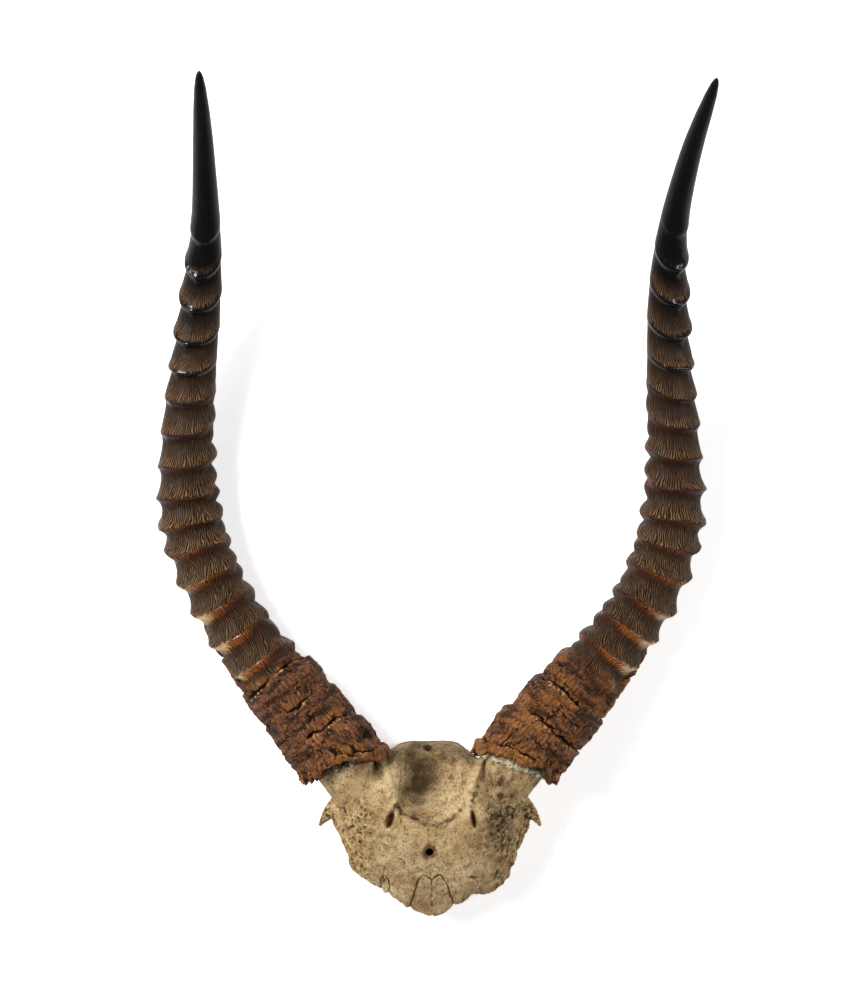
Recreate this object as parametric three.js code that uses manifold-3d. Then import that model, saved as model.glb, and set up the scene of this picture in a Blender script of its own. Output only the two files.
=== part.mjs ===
// Impala frontlet: a pair of ringed horn sheaths on the bony cores of a sawn skull plate.
// Millimetres. +Y runs from the nose to the horn tips, +Z is up, and left and right are as seen
// from above, with -X on the left. The frontlet lies on the sawn face of the plate and the backs
// of both horns. The origin is the middle of the whole outline, on the surface that it lies on.

import * as THREE from 'three';
import { mergeVertices } from 'three/addons/utils/BufferGeometryUtils.js';
import Module from 'manifold-3d';

const wasm = await Module();
wasm.setup();

// ---------------------------------------------------------------- driving dimensions

const GAP = 0.3;                 // clearance between pieces that touch
const PLAN_LENGTH = 378;         // rim to tip of one horn, seen from above
const ROUTE_STEP = PLAN_LENGTH / 10;

// Middle line of each horn, one point every ROUTE_STEP: the first is inside the skull, the
// second is the middle of the sheath's rim and the last is the tip.
const HORNS = {
  left: {
    side: 1,
    rimSkew: 4.5,
    route: [
      [-36, -172, 30], [-47, -138.5, 33], [-70.1, -108.6, 26.5], [-93.6, -78.9, 20.5],
      [-113.7, -46.9, 17.4], [-126.7, -11.4, 16.8], [-129, 26.3, 19.6], [-126.2, 64.1, 27.6],
      [-121.2, 101.6, 42.2], [-117.4, 139.3, 64.7], [-116.8, 177.2, 94.8], [-117.3, 215.1, 130],
    ],
    rings: [16, 33, 50, 67, 85, 103, 119, 135.5, 149.5, 164, 181, 198.5, 216, 232, 248, 266, 283, 300],
  },
  right: {
    side: -1,
    rimSkew: 3.5,
    route: [
      [33, -172, 30], [43.9, -138, 33], [67.8, -109, 26.5], [91.6, -79.8, 20.5],
      [113.1, -48.4, 17.4], [125.2, -12.4, 16.8], [126.4, 25.7, 19.6], [124.4, 63.3, 27.5],
      [122.4, 101, 41.9], [123.8, 138.6, 64.4], [131, 175.6, 94.8], [142.4, 211.5, 130],
    ],
    rings: [
      20, 39, 57.5, 72, 89, 105, 122.5, 137.5, 153, 170, 186, 203.5, 219, 235.5, 252.5, 270.5, 288, 305,
    ],
  },
};

// Mean radius of the sheath against the distance from its rim.
const GIRTH = [
  [0, 23.2], [20, 22], [46, 20.3], [60, 18.6], [75, 17.1], [95, 16.3], [155, 16.4], [175, 15.3],
  [195, 13.9], [215, 13.1], [240, 11.4], [270, 10.2], [290, 8.4], [320, 6.5], [345, 5.1],
  [360, 4], [372, 2.6], [377.4, 1.3], [PLAN_LENGTH, 0.5],
];
const DEPTH_RATIO = 0.93;        // the horn is a little shallower than it is wide
const SHEATH_SIDES = 16;
const RING_HEIGHT = [[0, 0.8], [60, 1.1], [100, 1.3], [200, 1.25], [260, 1.1], [305, 0.6], [322, 0]];
const RING_DROOP = [[0, 0], [40, 3], [180, 4], [260, 6.5], [309, 4], [332, 0]];
const DROOP_BEARING = THREE.MathUtils.degToRad(65);   // where round the horn a ring hangs lowest
const TIP_ROWS = [315, 333, 350, 362, 371, 376, PLAN_LENGTH];

// Bony core: radius against the distance from the rim, from inside the plate to its blunt end.
const CORE = [
  [-36, 14], [-24, 17], [-12, 17], [-4, 15.6], [0, 15.2], [4, 15], [20, 14.4], [35, 13.8], [50, 13.2],
  [70, 12.1], [92, 10.8], [115, 9], [138, 6.8], [147, 4.6], [150, 2],
];
const CORE_SIDES = 14;
const MOUTH_FLARE = 2.2;         // extra room between the core and the sheath at its mouth
const MOUTH_DEPTH = 4;

// Dried tissue left round the core in the sheath's mouth.
const TISSUE = [[-2.6, 1.5], [0, 1.5], [2, 0.6]];    // thickness against the distance from the rim

// Skull plate.
const MIDLINE = -1.6;
const PLATE_CENTRE = [MIDLINE, -168];
const OUTLINE = [
  [-2, -127.6], [-14.5, -128], [-21.2, -131.2], [-27.6, -136.2], [-32.5, -143], [-35.5, -151],
  [-41, -155], [-48, -155.8], [-52.5, -158.5], [-53, -166], [-50.9, -173], [-47.8, -179],
  [-45.2, -185.7], [-43.6, -191.5], [-38.5, -197.5], [-31, -201.9], [-24, -205.9], [-18.4, -210],
  [-12.8, -213.6], [-8, -210], [-0.5, -208], [7, -209], [11.3, -212.8], [16, -211.2], [21.3, -206.6],
  [27.8, -207.4], [34, -204.3], [37.4, -201], [40.2, -197], [42.2, -191.5], [43.2, -187],
  [45.2, -182.2], [47.2, -178], [49.8, -173], [51, -166], [50, -158.5], [45, -155.8], [38, -155],
  [32.5, -151], [29.5, -143], [24.4, -137.2], [17, -131.4], [10.6, -127.8],
];
const OUTLINE_SAMPLES = 720;
const PLATE_SIDES = 68;
const TOP_BANDS = 9;
const UNDER_BANDS = 4;
const EDGE_ROLL = 5;             // how far the top drops in its last stretch to its edges
const ROLL_START = 0.82;

// Height of the forehead along the midline, against Y.
const FOREHEAD = [
  [-218, 17.5], [-214, 22.5], [-205, 31], [-195, 38], [-183, 44.5], [-172, 47], [-164, 45.5],
  [-154, 42.5], [-140, 41], [-120, 38],
];
const BRAINCASE = { y: -157, halfWidth: 35, halfLength: 33.5, height: 43, power: 4, rounding: 0.3 };
const CROWN_BLEND = [-160, -149];  // where the forehead hands over to the braincase, in Y
const SHOULDER = 21;             // distance from the midline where the plate starts to fall away
const FLANK_FALL = 14;           // fall at 30 mm outside the shoulder
const CROWN = 0.002;             // how the forehead curves down across its width
const UNDERCUT = { y: -190, slope: 0.5 };   // the sawn face rises towards the nose from here
const HOLLOW = { y: -146, halfWidth: 15.5, halfLength: 15, depth: 9.5 };
const MOUND = { offset: 36, y: -160, radius: 13, height: 9 };

const BRAIN_CAVITY = { at: [MIDLINE, -152, 0], size: [26, 22.5, 29] };
const NASAL_CAVITY = { at: [MIDLINE, -208, 3], size: [13, 27, 17] };
const ORBIT = { offset: 52, y: -181, z: 0, size: [24, 19, 18] };

const SCREW_RADIUS = 2.1;
const FOREHEAD_SCREW = { at: [-1.9, -183.3], floor: 30 };
const REAR_SCREW = { at: [-2.6, -129.6, 31], tilt: THREE.MathUtils.degToRad(38) };
const FORAMEN = { offset: 21.8, y: -166.2, z: 44, size: [1.7, 4, 6] };
const HOOK = [[46, -160, 25], [54, -163.5, 24], [58, -171, 22.5]];
const HOOK_RADIUS = [8, 0.8];
const HOOK_TAPER = 0.75;

// Stubs of the nasal bones: a rounded tongue each, let into the front of the plate.
const NASALS = {
  nasal_left: [
    [-0.65, -218.2], [-0.65, -199.6], [-2.6, -197.2], [-5.4, -196.2], [-7.6, -199], [-9.3, -205.2],
    [-11.6, -212.8], [-10.2, -215.4], [-6.4, -217],
  ],
  nasal_right: [
    [-0.35, -218.2], [4.6, -217.7], [8, -215.4], [10.6, -211.8], [8.6, -205.2], [6.3, -199],
    [3.9, -196.1], [1.2, -197], [-0.35, -199.6],
  ],
};
const NASAL_THICKNESS = 3.4;

// Chip of lacrimal bone, loose in its suture at the front corner of the plate.
const CHIP = [
  [-25.8, -196.4], [-26.9, -200], [-26.7, -204], [-25.3, -206.2], [-23.6, -205.6], [-22.8, -201.8],
  [-24, -197.4],
];
const CHIP_THICKNESS = 4;

// ---------------------------------------------------------------- helpers

/** Straight-line reading of a table of [x, value] rows. */
function read(table, x) {
  const last = table.length - 1;
  if (x <= table[0][0]) return table[0][1];
  if (x >= table[last][0]) return table[last][1];
  const i = table.findIndex((row) => row[0] > x);
  const [x0, y0] = table[i - 1];
  const [x1, y1] = table[i];
  return y0 + (y1 - y0) * (x - x0) / (x1 - x0);
}

/** Turn a closed geometry into a manifold solid. */
function toSolid(geometry) {
  geometry.deleteAttribute('normal');
  geometry.deleteAttribute('uv');
  const merged = mergeVertices(geometry, 1e-4);
  return new wasm.Manifold(new wasm.Mesh({
    numProp: 3,
    vertProperties: new Float32Array(merged.attributes.position.array),
    triVerts: new Uint32Array(merged.index.array),
  }));
}

/** Turn a manifold solid back into a geometry. */
function toGeometry(solid) {
  const mesh = solid.getMesh();
  const geometry = new THREE.BufferGeometry();
  geometry.setAttribute('position', new THREE.BufferAttribute(mesh.vertProperties, 3));
  geometry.setIndex(new THREE.BufferAttribute(mesh.triVerts, 1));
  geometry.computeVertexNormals();
  return geometry;
}

/** Move every vertex of a geometry through a function of its old place. */
function reshape(geometry, move) {
  const position = geometry.attributes.position;
  const p = new THREE.Vector3();
  for (let i = 0; i < position.count; i += 1) {
    p.fromBufferAttribute(position, i);
    move(p);
    position.setXYZ(i, p.x, p.y, p.z);
  }
  return geometry;
}

function ellipsoid(at, size, around = 16, along = 10) {
  const geometry = new THREE.SphereGeometry(1, around, along);
  geometry.scale(...size);
  geometry.translate(...at);
  return toSolid(geometry);
}

function material(color, roughness) {
  return new THREE.MeshStandardMaterial({ color, roughness, metalness: 0 });
}

// ---------------------------------------------------------------- horns

/** Place, outward direction and upward direction of a horn's middle line at distance u. */
function frameAt(horn, u) {
  const t = (u + ROUTE_STEP) / (ROUTE_STEP * (horn.route.length - 1));
  const inRange = THREE.MathUtils.clamp(t, 0, 1);
  const centre = horn.curve.getPoint(inRange);
  const tangent = horn.curve.getTangent(inRange);
  const out = new THREE.Vector3(0, 0, horn.side).cross(tangent).normalize();
  const up = tangent.clone().cross(out).multiplyScalar(horn.side);
  return { centre, out, up };
}

/**
 * A closed body swept along a horn. Each row has a distance u, and reach(u, angle, row) gives the
 * radius there; shift(u, angle) slides the row along the horn. Angle 0 is outward, 90 degrees up.
 */
function sweep(horn, rows, sides, reach, shift = () => 0) {
  const geometry = new THREE.CylinderGeometry(1, 1, 1, sides, rows.length - 1);
  return toSolid(reshape(geometry, (p) => {
    const row = rows[Math.round((p.y + 0.5) * (rows.length - 1))];
    const onAxis = Math.hypot(p.x, p.z) < 0.5;
    const angle = Math.atan2(-horn.side * p.z, p.x);
    const u = row.u + (onAxis ? 0 : shift(row.u, angle));
    const { centre, out, up } = frameAt(horn, u);
    const r = onAxis ? 0 : reach(row.u, angle, row);
    p.copy(centre)
      .addScaledVector(out, r * Math.cos(angle))
      .addScaledVector(up, r * Math.sin(angle) * DEPTH_RATIO);
  }));
}

/** Rows of the sheath from rim to tip: a crest, a valley and one row between for every ring. */
function sheathRows(horn) {
  const rows = [{ u: 0, relief: 0.2 }];
  horn.rings.forEach((crest, i) => {
    const next = horn.rings[i + 1] ?? crest + 15;
    const lean = read([[60, 0.34], [160, 0.5], [260, 0.7]], crest);
    const valley = crest + lean * (next - crest);
    rows.push({ u: crest, relief: 1 });
    rows.push({ u: valley, relief: -1 });
    rows.push({ u: (valley + next) / 2, relief: -0.1 });
  });
  TIP_ROWS.filter((u) => u > rows.at(-1).u + 5).forEach((u) => rows.push({ u, relief: 0 }));
  return rows;
}

/** Outer radius of a sheath: its girth, plus rings that fade from the back of the upper horn. */
function sheathRadius(u, angle, row) {
  const allRound = 1 - THREE.MathUtils.smoothstep(u, 150, 240);
  const facing = 0.5 + 0.5 * Math.cos(angle - DROOP_BEARING);
  return read(GIRTH, u) + row.relief * read(RING_HEIGHT, u) * Math.max(facing, allRound);
}

/** How far a row is slid: skewed at the rim, drooping like a collar further up. */
function sheathShift(horn) {
  return (u, angle) => {
    const skew = horn.rimSkew * Math.cos(angle) * (1 - THREE.MathUtils.smoothstep(u, 0, 45));
    return skew - read(RING_DROOP, u) * Math.cos(angle - DROOP_BEARING);
  };
}

/** The bony core, or with clearance the socket that fits it. */
function coreSolid(horn, clearance, flare) {
  const flared = (u) => flare * (1 - THREE.MathUtils.smoothstep(u, 0, MOUTH_DEPTH));
  const reach = (u) => read(CORE, u) + clearance + flared(u);
  const rows = CORE.map(([u]) => ({ u: u === CORE.at(-1)[0] ? u + clearance : u }));
  return sweep(horn, rows, CORE_SIDES, reach);
}

function sheath(horn) {
  const body = sweep(horn, sheathRows(horn), SHEATH_SIDES, sheathRadius, sheathShift(horn));
  return body.subtract(coreSolid(horn, GAP, MOUTH_FLARE));
}

/** Collar of dried tissue that fills most of the flared mouth. */
function tissue(horn) {
  const rows = TISSUE.map(([u]) => ({ u }));
  const collar = sweep(horn, rows, CORE_SIDES, (u) => read(CORE, u) + GAP + read(TISSUE, u));
  return collar.subtract(coreSolid(horn, GAP, 0));
}

// ---------------------------------------------------------------- skull plate

/** A round swelling on both sides of the midline. */
function swelling({ offset, y: middle, radius, height }, a, y) {
  return height * Math.exp(-((a - offset) ** 2 + (y - middle) ** 2) / radius ** 2);
}

/** A flat-bottomed bowl across the midline. */
function bowl({ y: middle, halfWidth, halfLength, depth }, a, y) {
  return depth * Math.exp(-((a / halfWidth) ** 4) - ((y - middle) / halfLength) ** 4);
}

/** Height of the plate's upper surface, before its edges roll down. */
function plateTop(x, y) {
  const a = Math.abs(x - MIDLINE);
  const b = BRAINCASE;
  const inside = 1 - (a / b.halfWidth) ** b.power - (Math.abs(y - b.y) / b.halfLength) ** b.power;
  const dome = b.height * Math.max(inside, 0) ** b.rounding;
  const fall = FLANK_FALL * (Math.max(a - SHOULDER, 0) / 30) ** 1.6;
  const forehead = read(FOREHEAD, y) - CROWN * a * a - fall;
  const blend = THREE.MathUtils.smoothstep(y, ...CROWN_BLEND);
  return THREE.MathUtils.lerp(forehead, dome, blend) + swelling(MOUND, a, y) - bowl(HOLLOW, a, y);
}

const outline = new THREE.CatmullRomCurve3(
  OUTLINE.map(([x, y]) => new THREE.Vector3(x, y, 0)), true, 'catmullrom',
);

/** Distance from the plate's centre to its edge, against the bearing, as a table for read(). */
const edgeDistance = Array.from({ length: OUTLINE_SAMPLES }, (_, i) => {
  const edge = outline.getPoint(i / OUTLINE_SAMPLES);
  const [x, y] = [edge.x - PLATE_CENTRE[0], edge.y - PLATE_CENTRE[1]];
  return [Math.atan2(y, x), Math.hypot(x, y)];
}).sort((a, b) => a[0] - b[0]);

/** Height of the plate's upper surface with its side and rear edges rolled down. */
function plateSurface(x, y) {
  const [dx, dy] = [x - PLATE_CENTRE[0], y - PLATE_CENTRE[1]];
  const share = Math.hypot(dx, dy) / read(edgeDistance, Math.atan2(dy, dx));
  const aside = THREE.MathUtils.smoothstep(Math.abs(dx), 10, 26);
  const behind = THREE.MathUtils.smoothstep(dy, 15, 30);
  const roll = Math.max(aside, behind) * THREE.MathUtils.smoothstep(share, ROLL_START, 1) ** 1.5;
  return plateTop(x, y) - EDGE_ROLL * roll;
}

/**
 * The plate without its hollows: a sphere whose upper bands become the upper surface, and whose
 * lower bands become the flat sawn face. The upright edge is the band between them.
 */
function plateBlank() {
  const bands = TOP_BANDS + 1 + UNDER_BANDS;
  const geometry = new THREE.SphereGeometry(1, PLATE_SIDES, bands);
  return toSolid(reshape(geometry, (p) => {
    const band = Math.round(Math.acos(THREE.MathUtils.clamp(p.y, -1, 1)) / Math.PI * bands);
    const turn = (Math.atan2(-p.z, p.x) / (2 * Math.PI) + 1) % 1;
    const edge = outline.getPoint(turn);
    const onTop = band <= TOP_BANDS;
    const share = onTop ? (band / TOP_BANDS) ** 0.8 : (bands - band) / UNDER_BANDS;
    const x = THREE.MathUtils.lerp(PLATE_CENTRE[0], edge.x, share);
    const y = THREE.MathUtils.lerp(PLATE_CENTRE[1], edge.y, share);
    p.set(x, y, onTop ? plateSurface(x, y) : Math.max(UNDERCUT.slope * (UNDERCUT.y - y), 0));
  }));
}

/** Broken stump of the bar behind the eye: a short tapering spike. */
function hook(side) {
  const path = new THREE.QuadraticBezierCurve3(
    ...HOOK.map(([a, y, z]) => new THREE.Vector3(MIDLINE - side * a, y, z)),
  );
  return toSolid(reshape(new THREE.CylinderGeometry(1, 1, 1, 10, 5), (p) => {
    const t = p.y + 0.5;
    const tangent = path.getTangent(t);
    const across = new THREE.Vector3(0, 0, 1).cross(tangent).normalize();
    const up = tangent.clone().cross(across);
    const r = THREE.MathUtils.lerp(...HOOK_RADIUS, t ** HOOK_TAPER);
    p.copy(path.getPoint(t).addScaledVector(across, p.x * r).addScaledVector(up, -p.z * r * 0.7));
  }));
}

function hole(length, sides, turn, at) {
  const geometry = new THREE.CylinderGeometry(SCREW_RADIUS, SCREW_RADIUS, length, sides);
  geometry.rotateX(turn);
  geometry.translate(...at);
  return toSolid(geometry);
}

function mirrored({ offset, y, z }, side) {
  return [MIDLINE - side * offset, y, z];
}

function skullPlate(beds) {
  let plate = plateBlank();
  for (const { side } of horns) {
    plate = plate.add(hook(side));
    plate = plate.subtract(ellipsoid(mirrored(ORBIT, side), ORBIT.size));
  }
  plate = plate.subtract(ellipsoid(BRAIN_CAVITY.at, BRAIN_CAVITY.size));
  plate = plate.subtract(ellipsoid(NASAL_CAVITY.at, NASAL_CAVITY.size));
  for (const horn of horns) {
    plate = plate.add(coreSolid(horn, 0, 0));
    plate = plate.subtract(ellipsoid(mirrored(FORAMEN, horn.side), FORAMEN.size, 8, 6));
  }
  const depth = 30;
  const middle = FOREHEAD_SCREW.floor + depth / 2;
  plate = plate.subtract(hole(depth, 14, Math.PI / 2, [...FOREHEAD_SCREW.at, middle]));
  plate = plate.subtract(hole(22, 12, REAR_SCREW.tilt, REAR_SCREW.at));
  for (const bed of beds) plate = plate.subtract(bed);
  return plate;
}

// ---------------------------------------------------------------- small bones

/** The outline's points moved outward by clearance, each along its corner's bisector. */
function widen(points, clearance) {
  const turning = Math.sign(THREE.ShapeUtils.area(points.map(([x, y]) => new THREE.Vector2(x, y))));
  return points.map(([x, y], i) => {
    const before = points.at(i - 1);
    const after = points[(i + 1) % points.length];
    const normals = [[before, [x, y]], [[x, y], after]].map(([from, to]) => (
      new THREE.Vector2(to[1] - from[1], from[0] - to[0]).normalize().multiplyScalar(turning)
    ));
    const bisector = normals[0].clone().add(normals[1]).divideScalar(1 + normals[0].dot(normals[1]));
    return new THREE.Vector2(x, y).addScaledVector(bisector, clearance);
  });
}

/** A piece of the given outline whose faces follow the plate's upper surface. */
function inlay(points, clearance, low, high) {
  const outlinePoints = widen(points, clearance);
  const shape = new THREE.Shape(outlinePoints);
  const prism = toSolid(new THREE.ExtrudeGeometry(shape, { depth: 90, bevelEnabled: false }));
  const box = new THREE.Box2().setFromPoints(outlinePoints).expandByScalar(1);
  const sheet = toSolid(reshape(new THREE.BoxGeometry(1, 1, 1, 4, 7, 1), (p) => {
    const x = THREE.MathUtils.lerp(box.min.x, box.max.x, p.x + 0.5);
    const y = THREE.MathUtils.lerp(box.min.y, box.max.y, p.y + 0.5);
    p.set(x, y, plateSurface(x, y) + (p.z > 0 ? high : low));
  }));
  return prism.intersect(sheet);
}

/** A small bone and the bed that is cut for it in the plate. */
function smallBone(points, thickness) {
  return {
    solid: inlay(points, 0, -thickness, -0.4),
    bed: inlay(points, GAP, -thickness - GAP, 30),
  };
}

// ---------------------------------------------------------------- assembly

const horns = Object.values(HORNS);
for (const horn of horns) {
  const points = horn.route.map(([x, y, z]) => new THREE.Vector3(x, y, z));
  horn.curve = new THREE.CatmullRomCurve3(points, false, 'catmullrom');
}

const bones = Object.entries(NASALS)
  .map(([name, points]) => ({ name, ...smallBone(points, NASAL_THICKNESS) }));
bones.push({ name: 'lacrimal_fragment', ...smallBone(CHIP, CHIP_THICKNESS) });

const bone = material(0xb39c73, 0.85);
const horny = material(0x4a372a, 0.5);
const crust = material(0x9a927c, 0.95);

const frontlet = new THREE.Group();

function addPiece(name, solid, finish) {
  const mesh = new THREE.Mesh(toGeometry(solid), finish);
  mesh.name = name;
  frontlet.add(mesh);
}

addPiece('skull_plate', skullPlate(bones.map(({ bed }) => bed)), bone);
for (const { name, solid } of bones) addPiece(name, solid, bone);
for (const [name, horn] of Object.entries(HORNS)) {
  addPiece(`${name}_horn_sheath`, sheath(horn), horny);
  addPiece(`${name}_dried_tissue`, tissue(horn), crust);
}

export default frontlet;
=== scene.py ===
"""Impala frontlet: two ringed horn sheaths on the bony cores of a sawn skull plate.

Lengths are in millimetres until a mesh is made. +Y runs from the nose to the horn tips, +Z is up,
and the left horn has negative X. The frontlet lies on the sawn face of the plate and on the backs
of its horns. A distance u along a horn starts at the rim of its sheath and is measured as seen
from above.
"""

import math
from types import SimpleNamespace

import bpy
import numpy as np
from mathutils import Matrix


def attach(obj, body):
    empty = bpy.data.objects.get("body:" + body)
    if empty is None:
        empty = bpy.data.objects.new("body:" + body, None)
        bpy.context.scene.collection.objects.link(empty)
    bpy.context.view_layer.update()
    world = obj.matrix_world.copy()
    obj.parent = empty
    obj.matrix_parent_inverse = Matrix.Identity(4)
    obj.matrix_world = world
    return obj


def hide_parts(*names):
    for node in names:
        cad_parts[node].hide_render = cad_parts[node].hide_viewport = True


bl_info = {
    "name": "Horned Frontlet",
    "version": (1, 0, 0),
    "blender": (4, 5, 0),
    "location": "3D View > Sidebar > Frontlet",
    "description": "Makes a pair of ringed antelope horns on a sawn skull plate",
    "category": "Add Mesh",
}

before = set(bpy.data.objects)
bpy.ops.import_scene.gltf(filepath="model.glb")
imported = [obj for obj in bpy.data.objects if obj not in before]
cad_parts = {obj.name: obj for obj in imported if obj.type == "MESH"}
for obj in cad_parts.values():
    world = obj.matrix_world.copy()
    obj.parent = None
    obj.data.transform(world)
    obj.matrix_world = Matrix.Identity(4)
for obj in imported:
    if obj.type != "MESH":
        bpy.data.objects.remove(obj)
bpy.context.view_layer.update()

MM = 0.001
TURN = 2 * math.pi
FLOOR_CLEARANCE = 0.05
STRANDS = 84                     # strands round a horn

# ---------------------------------------------------------------- horn measurements

ROUTE_STEP = 37.8                # from one point of a horn's route to the next, seen from above
HORN_LENGTH = 10 * ROUTE_STEP    # rim to tip
LAST_RING_LENGTH = 16

# Tables of (u, value). Girth is the mean radius; the heights, droop and wander of the rings are in
# millimetres; bearings are in degrees; a valley or a skirt is placed by its share of a ring's length.
GIRTH = [
    (0, 23.2), (20, 22), (46, 20.3), (60, 18.6), (75, 17.1), (95, 16.3), (155, 16.4), (175, 15.3),
    (195, 13.9), (215, 13.1), (240, 11.4), (270, 10.2), (290, 8.6), (320, 6.7), (345, 5.3),
    (360, 4.2), (370, 3.1), (375, 2.1), (377.2, 1.2), (HORN_LENGTH, 0.4),
]
DEPTH_RATIO = 0.93               # the horn is a little shallower than it is wide
RING_HEIGHT = [
    (0, 1.4), (60, 1.7), (100, 1.7), (170, 1.6), (220, 1.25), (250, 1.35), (280, 1.4), (294, 0.9),
    (305, 0.5), (317, 0),
]
RING_DROOP = [
    (0, 0), (40, 2.6), (70, 4), (95, 3.6), (140, 3.2), (165, 2.2), (185, 3.6), (235, 4.2), (262, 6.6),
    (292, 7), (309, 4.5), (328, 0),
]
DROOP_BEARING = [(0, 110), (140, 108), (165, 66), (185, 42), (235, 44), (256, 66), (320, 70)]
DROOP_FLATNESS = [(150, 3), (185, 1.4), (235, 1), (258, 0)]
VALLEY_SHARE = [(50, 0.3), (75, 0.5), (120, 0.58), (160, 0.62), (190, 0.72), (240, 0.8)]
SKIRT_START = [(60, 0.77), (110, 0.79), (140, 0.84), (170, 0.89), (220, 0.92), (250, 0.9)]
SKIRT_END = [(60, 0.03), (200, 0.03), (235, 0.06), (262, 0.1)]
RING_WANDER = [(0, 1.6), (60, 1.1), (120, 0.8), (240, 0.7), (300, 0.4), (320, 0)]
SHEATH_AROUND = 224
BARK_TOP = 62
BARK_ROWS = 28
RING_ROWS = 15
RIM_ROWS = 24
TIP_ROWS = 42

CORE = [
    (-36, 8), (-24, 10), (-12, 12.8), (-4, 14.6), (0, 15.2), (20, 14.4), (50, 13.2), (70, 12.1),
    (92, 10.8), (115, 9), (138, 6.8), (147, 4.6), (150, 2),
]
CORE_SHOWN = 60                  # where the core ends, out of sight inside the sheath

SOCKET_GAP = 0.5
SOCKET_DEPTHS = [0.9, 2.5, 5, 8, 12, 18, 26, 40, 70, 110, 147, 149.5]
SOCKET_CLOSING = [(148, 1), (149.5, 0.5)]
EDGE_THICKNESS = [(0.9, 1.0), (2.5, 2.1), (5, 3.2), (12, 5.6), (18, 7)]


class Horn:
    """One horn: side is 1 on the left and -1 on the right, turn_back adds to the bearing at which its
    upper rings hang lowest, and ring_fronts are the distances from the rim at which its rings cross
    the middle of its upper side."""

    def __init__(self, name, side, rim_skew, turn_back, seed, route, ring_fronts):
        self.name = name
        self.side = side
        self.rim_skew = rim_skew
        self.turn_back = turn_back
        self.seed = seed
        self.route = np.array(route, float)
        fronts = np.array(ring_fronts, float)
        self.rings = fronts + read(RING_DROOP, fronts) * ring_hang(self, fronts, math.pi / 2)


def read(table, x):
    """Straight-line reading of a table of (x, value) rows."""
    places, values = zip(*table)
    return np.interp(x, places, values)


def read_rounded(table, x, reach):
    """Reading of a table with its corners rounded: the mean of five readings, reach apart in all."""
    return sum(read(table, x + reach * step) for step in (-0.5, -0.25, 0, 0.25, 0.5)) / 5


def droop_bearing(horn, u):
    """Angle round the horn, in radians, at which its rings hang lowest."""
    return np.radians(read(DROOP_BEARING, u) + horn.turn_back * ease(u, 165, 235))


def ring_hang(horn, u, angle):
    """How far towards the rim a ring hangs at an angle, from -1 to 1: a cosine about the bearing,
    flattened to two levels low on the horn."""
    turn = np.cos(angle - droop_bearing(horn, u))
    flat = read(DROOP_FLATNESS, u)
    return turn * np.sqrt((1 + flat**2) / (1 + (flat * turn) ** 2))


def ease(x, low, high):
    """Smooth step from 0 at low to 1 at high."""
    t = np.clip((x - low) / (high - low), 0, 1)
    return t * t * (3 - 2 * t)


def blend(a, b, share):
    return a + (b - a) * share


def hump(x, width):
    """Bell curve of height 1 at x = 0."""
    return np.exp(-((x / width) ** 2))


def beside(angle, middle, width):
    """Bell curve round a horn, of height 1 at the middle angle."""
    return hump(np.mod(angle - middle + math.pi, TURN) - math.pi, width)


def spot(x, y, middle, widths, power=2):
    """Bell-shaped spot of height 1 in its middle, flatter on top with a higher power."""
    return np.exp(-(((x - middle[0]) / widths[0]) ** power) - ((y - middle[1]) / widths[1]) ** power)


LEFT = Horn(
    "left", 1, 4.5, 7, 11,
    [
        (-36, -172, 30), (-47, -138.5, 33), (-70.1, -108.6, 26.5), (-93.6, -78.9, 20.5),
        (-113.7, -46.9, 17.4), (-126.7, -11.4, 16.8), (-129, 26.3, 19.6), (-126.2, 64.1, 27.6),
        (-121.2, 101.6, 42.2), (-117.4, 139.3, 64.7), (-116.8, 177.2, 94.8), (-117.3, 215.1, 130),
    ],
    [14, 31, 49.9, 66.8, 84.9, 102.8, 119.2, 135.6, 149.3, 164.3, 180.9, 198.6, 215.8, 232, 248.4,
     265.8, 283.2, 300.2],
)
RIGHT = Horn(
    "right", -1, 3.5, -7, 47,
    [
        (33, -172, 30), (43.9, -138, 33), (67.8, -109, 26.5), (91.6, -79.8, 20.5),
        (113.1, -48.4, 17.4), (125.2, -12.4, 16.8), (126.4, 25.7, 19.6), (124.4, 63.3, 27.5),
        (122.4, 101, 41.9), (123.8, 138.6, 64.4), (131, 175.6, 94.8), (142.4, 211.5, 130),
    ],
    [18, 37, 57.7, 73.5, 90, 105.5, 123.3, 137.7, 152.7, 170, 186.2, 203.3, 219.2, 235.4, 252.7, 270.6,
     287.8, 305],
)
HORNS = (LEFT, RIGHT)

# ---------------------------------------------------------------- skull measurements

MIDLINE = -1.6
PLATE_CENTRE = (MIDLINE, -168)
OUTLINE = [
    (-2, -127.6), (-14.5, -128), (-21.2, -131.2), (-27.6, -136.2), (-32.5, -143), (-35.5, -151),
    (-41, -155), (-48, -155.8), (-52.5, -158.5), (-53, -166), (-50.9, -173), (-47.8, -179),
    (-45.2, -185.7), (-43.6, -191.5), (-38.5, -197.5), (-31, -201.9), (-24, -205.9), (-18.4, -210),
    (-12.8, -213.6), (-8, -210), (-0.5, -208), (7, -209), (11.3, -212.8), (16, -211.2), (21.3, -206.6),
    (27.8, -207.4), (34, -204.3), (37.4, -201), (40.2, -197), (42.2, -191.5), (43.2, -187),
    (45.2, -182.2), (47.2, -178), (49.8, -173), (51, -166), (50, -158.5), (45, -155.8), (38, -155),
    (32.5, -151), (29.5, -143), (24.4, -137.2), (17, -131.4), (10.6, -127.8),
]
OUTLINE_SAMPLES = 1440
PLATE_AROUND = 420
PLATE_TOP_ROWS = 110
PLATE_WALL_ROWS = 14
PLATE_UNDER_ROWS = 70
POLE = 0.005                     # share of the way to the outline at which the rows start
LEAST_THICKNESS = 2.4
VOXEL = 0.62
KEPT_FACES = 0.64                # share of the skull's triangles left after the flattest are merged

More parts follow.
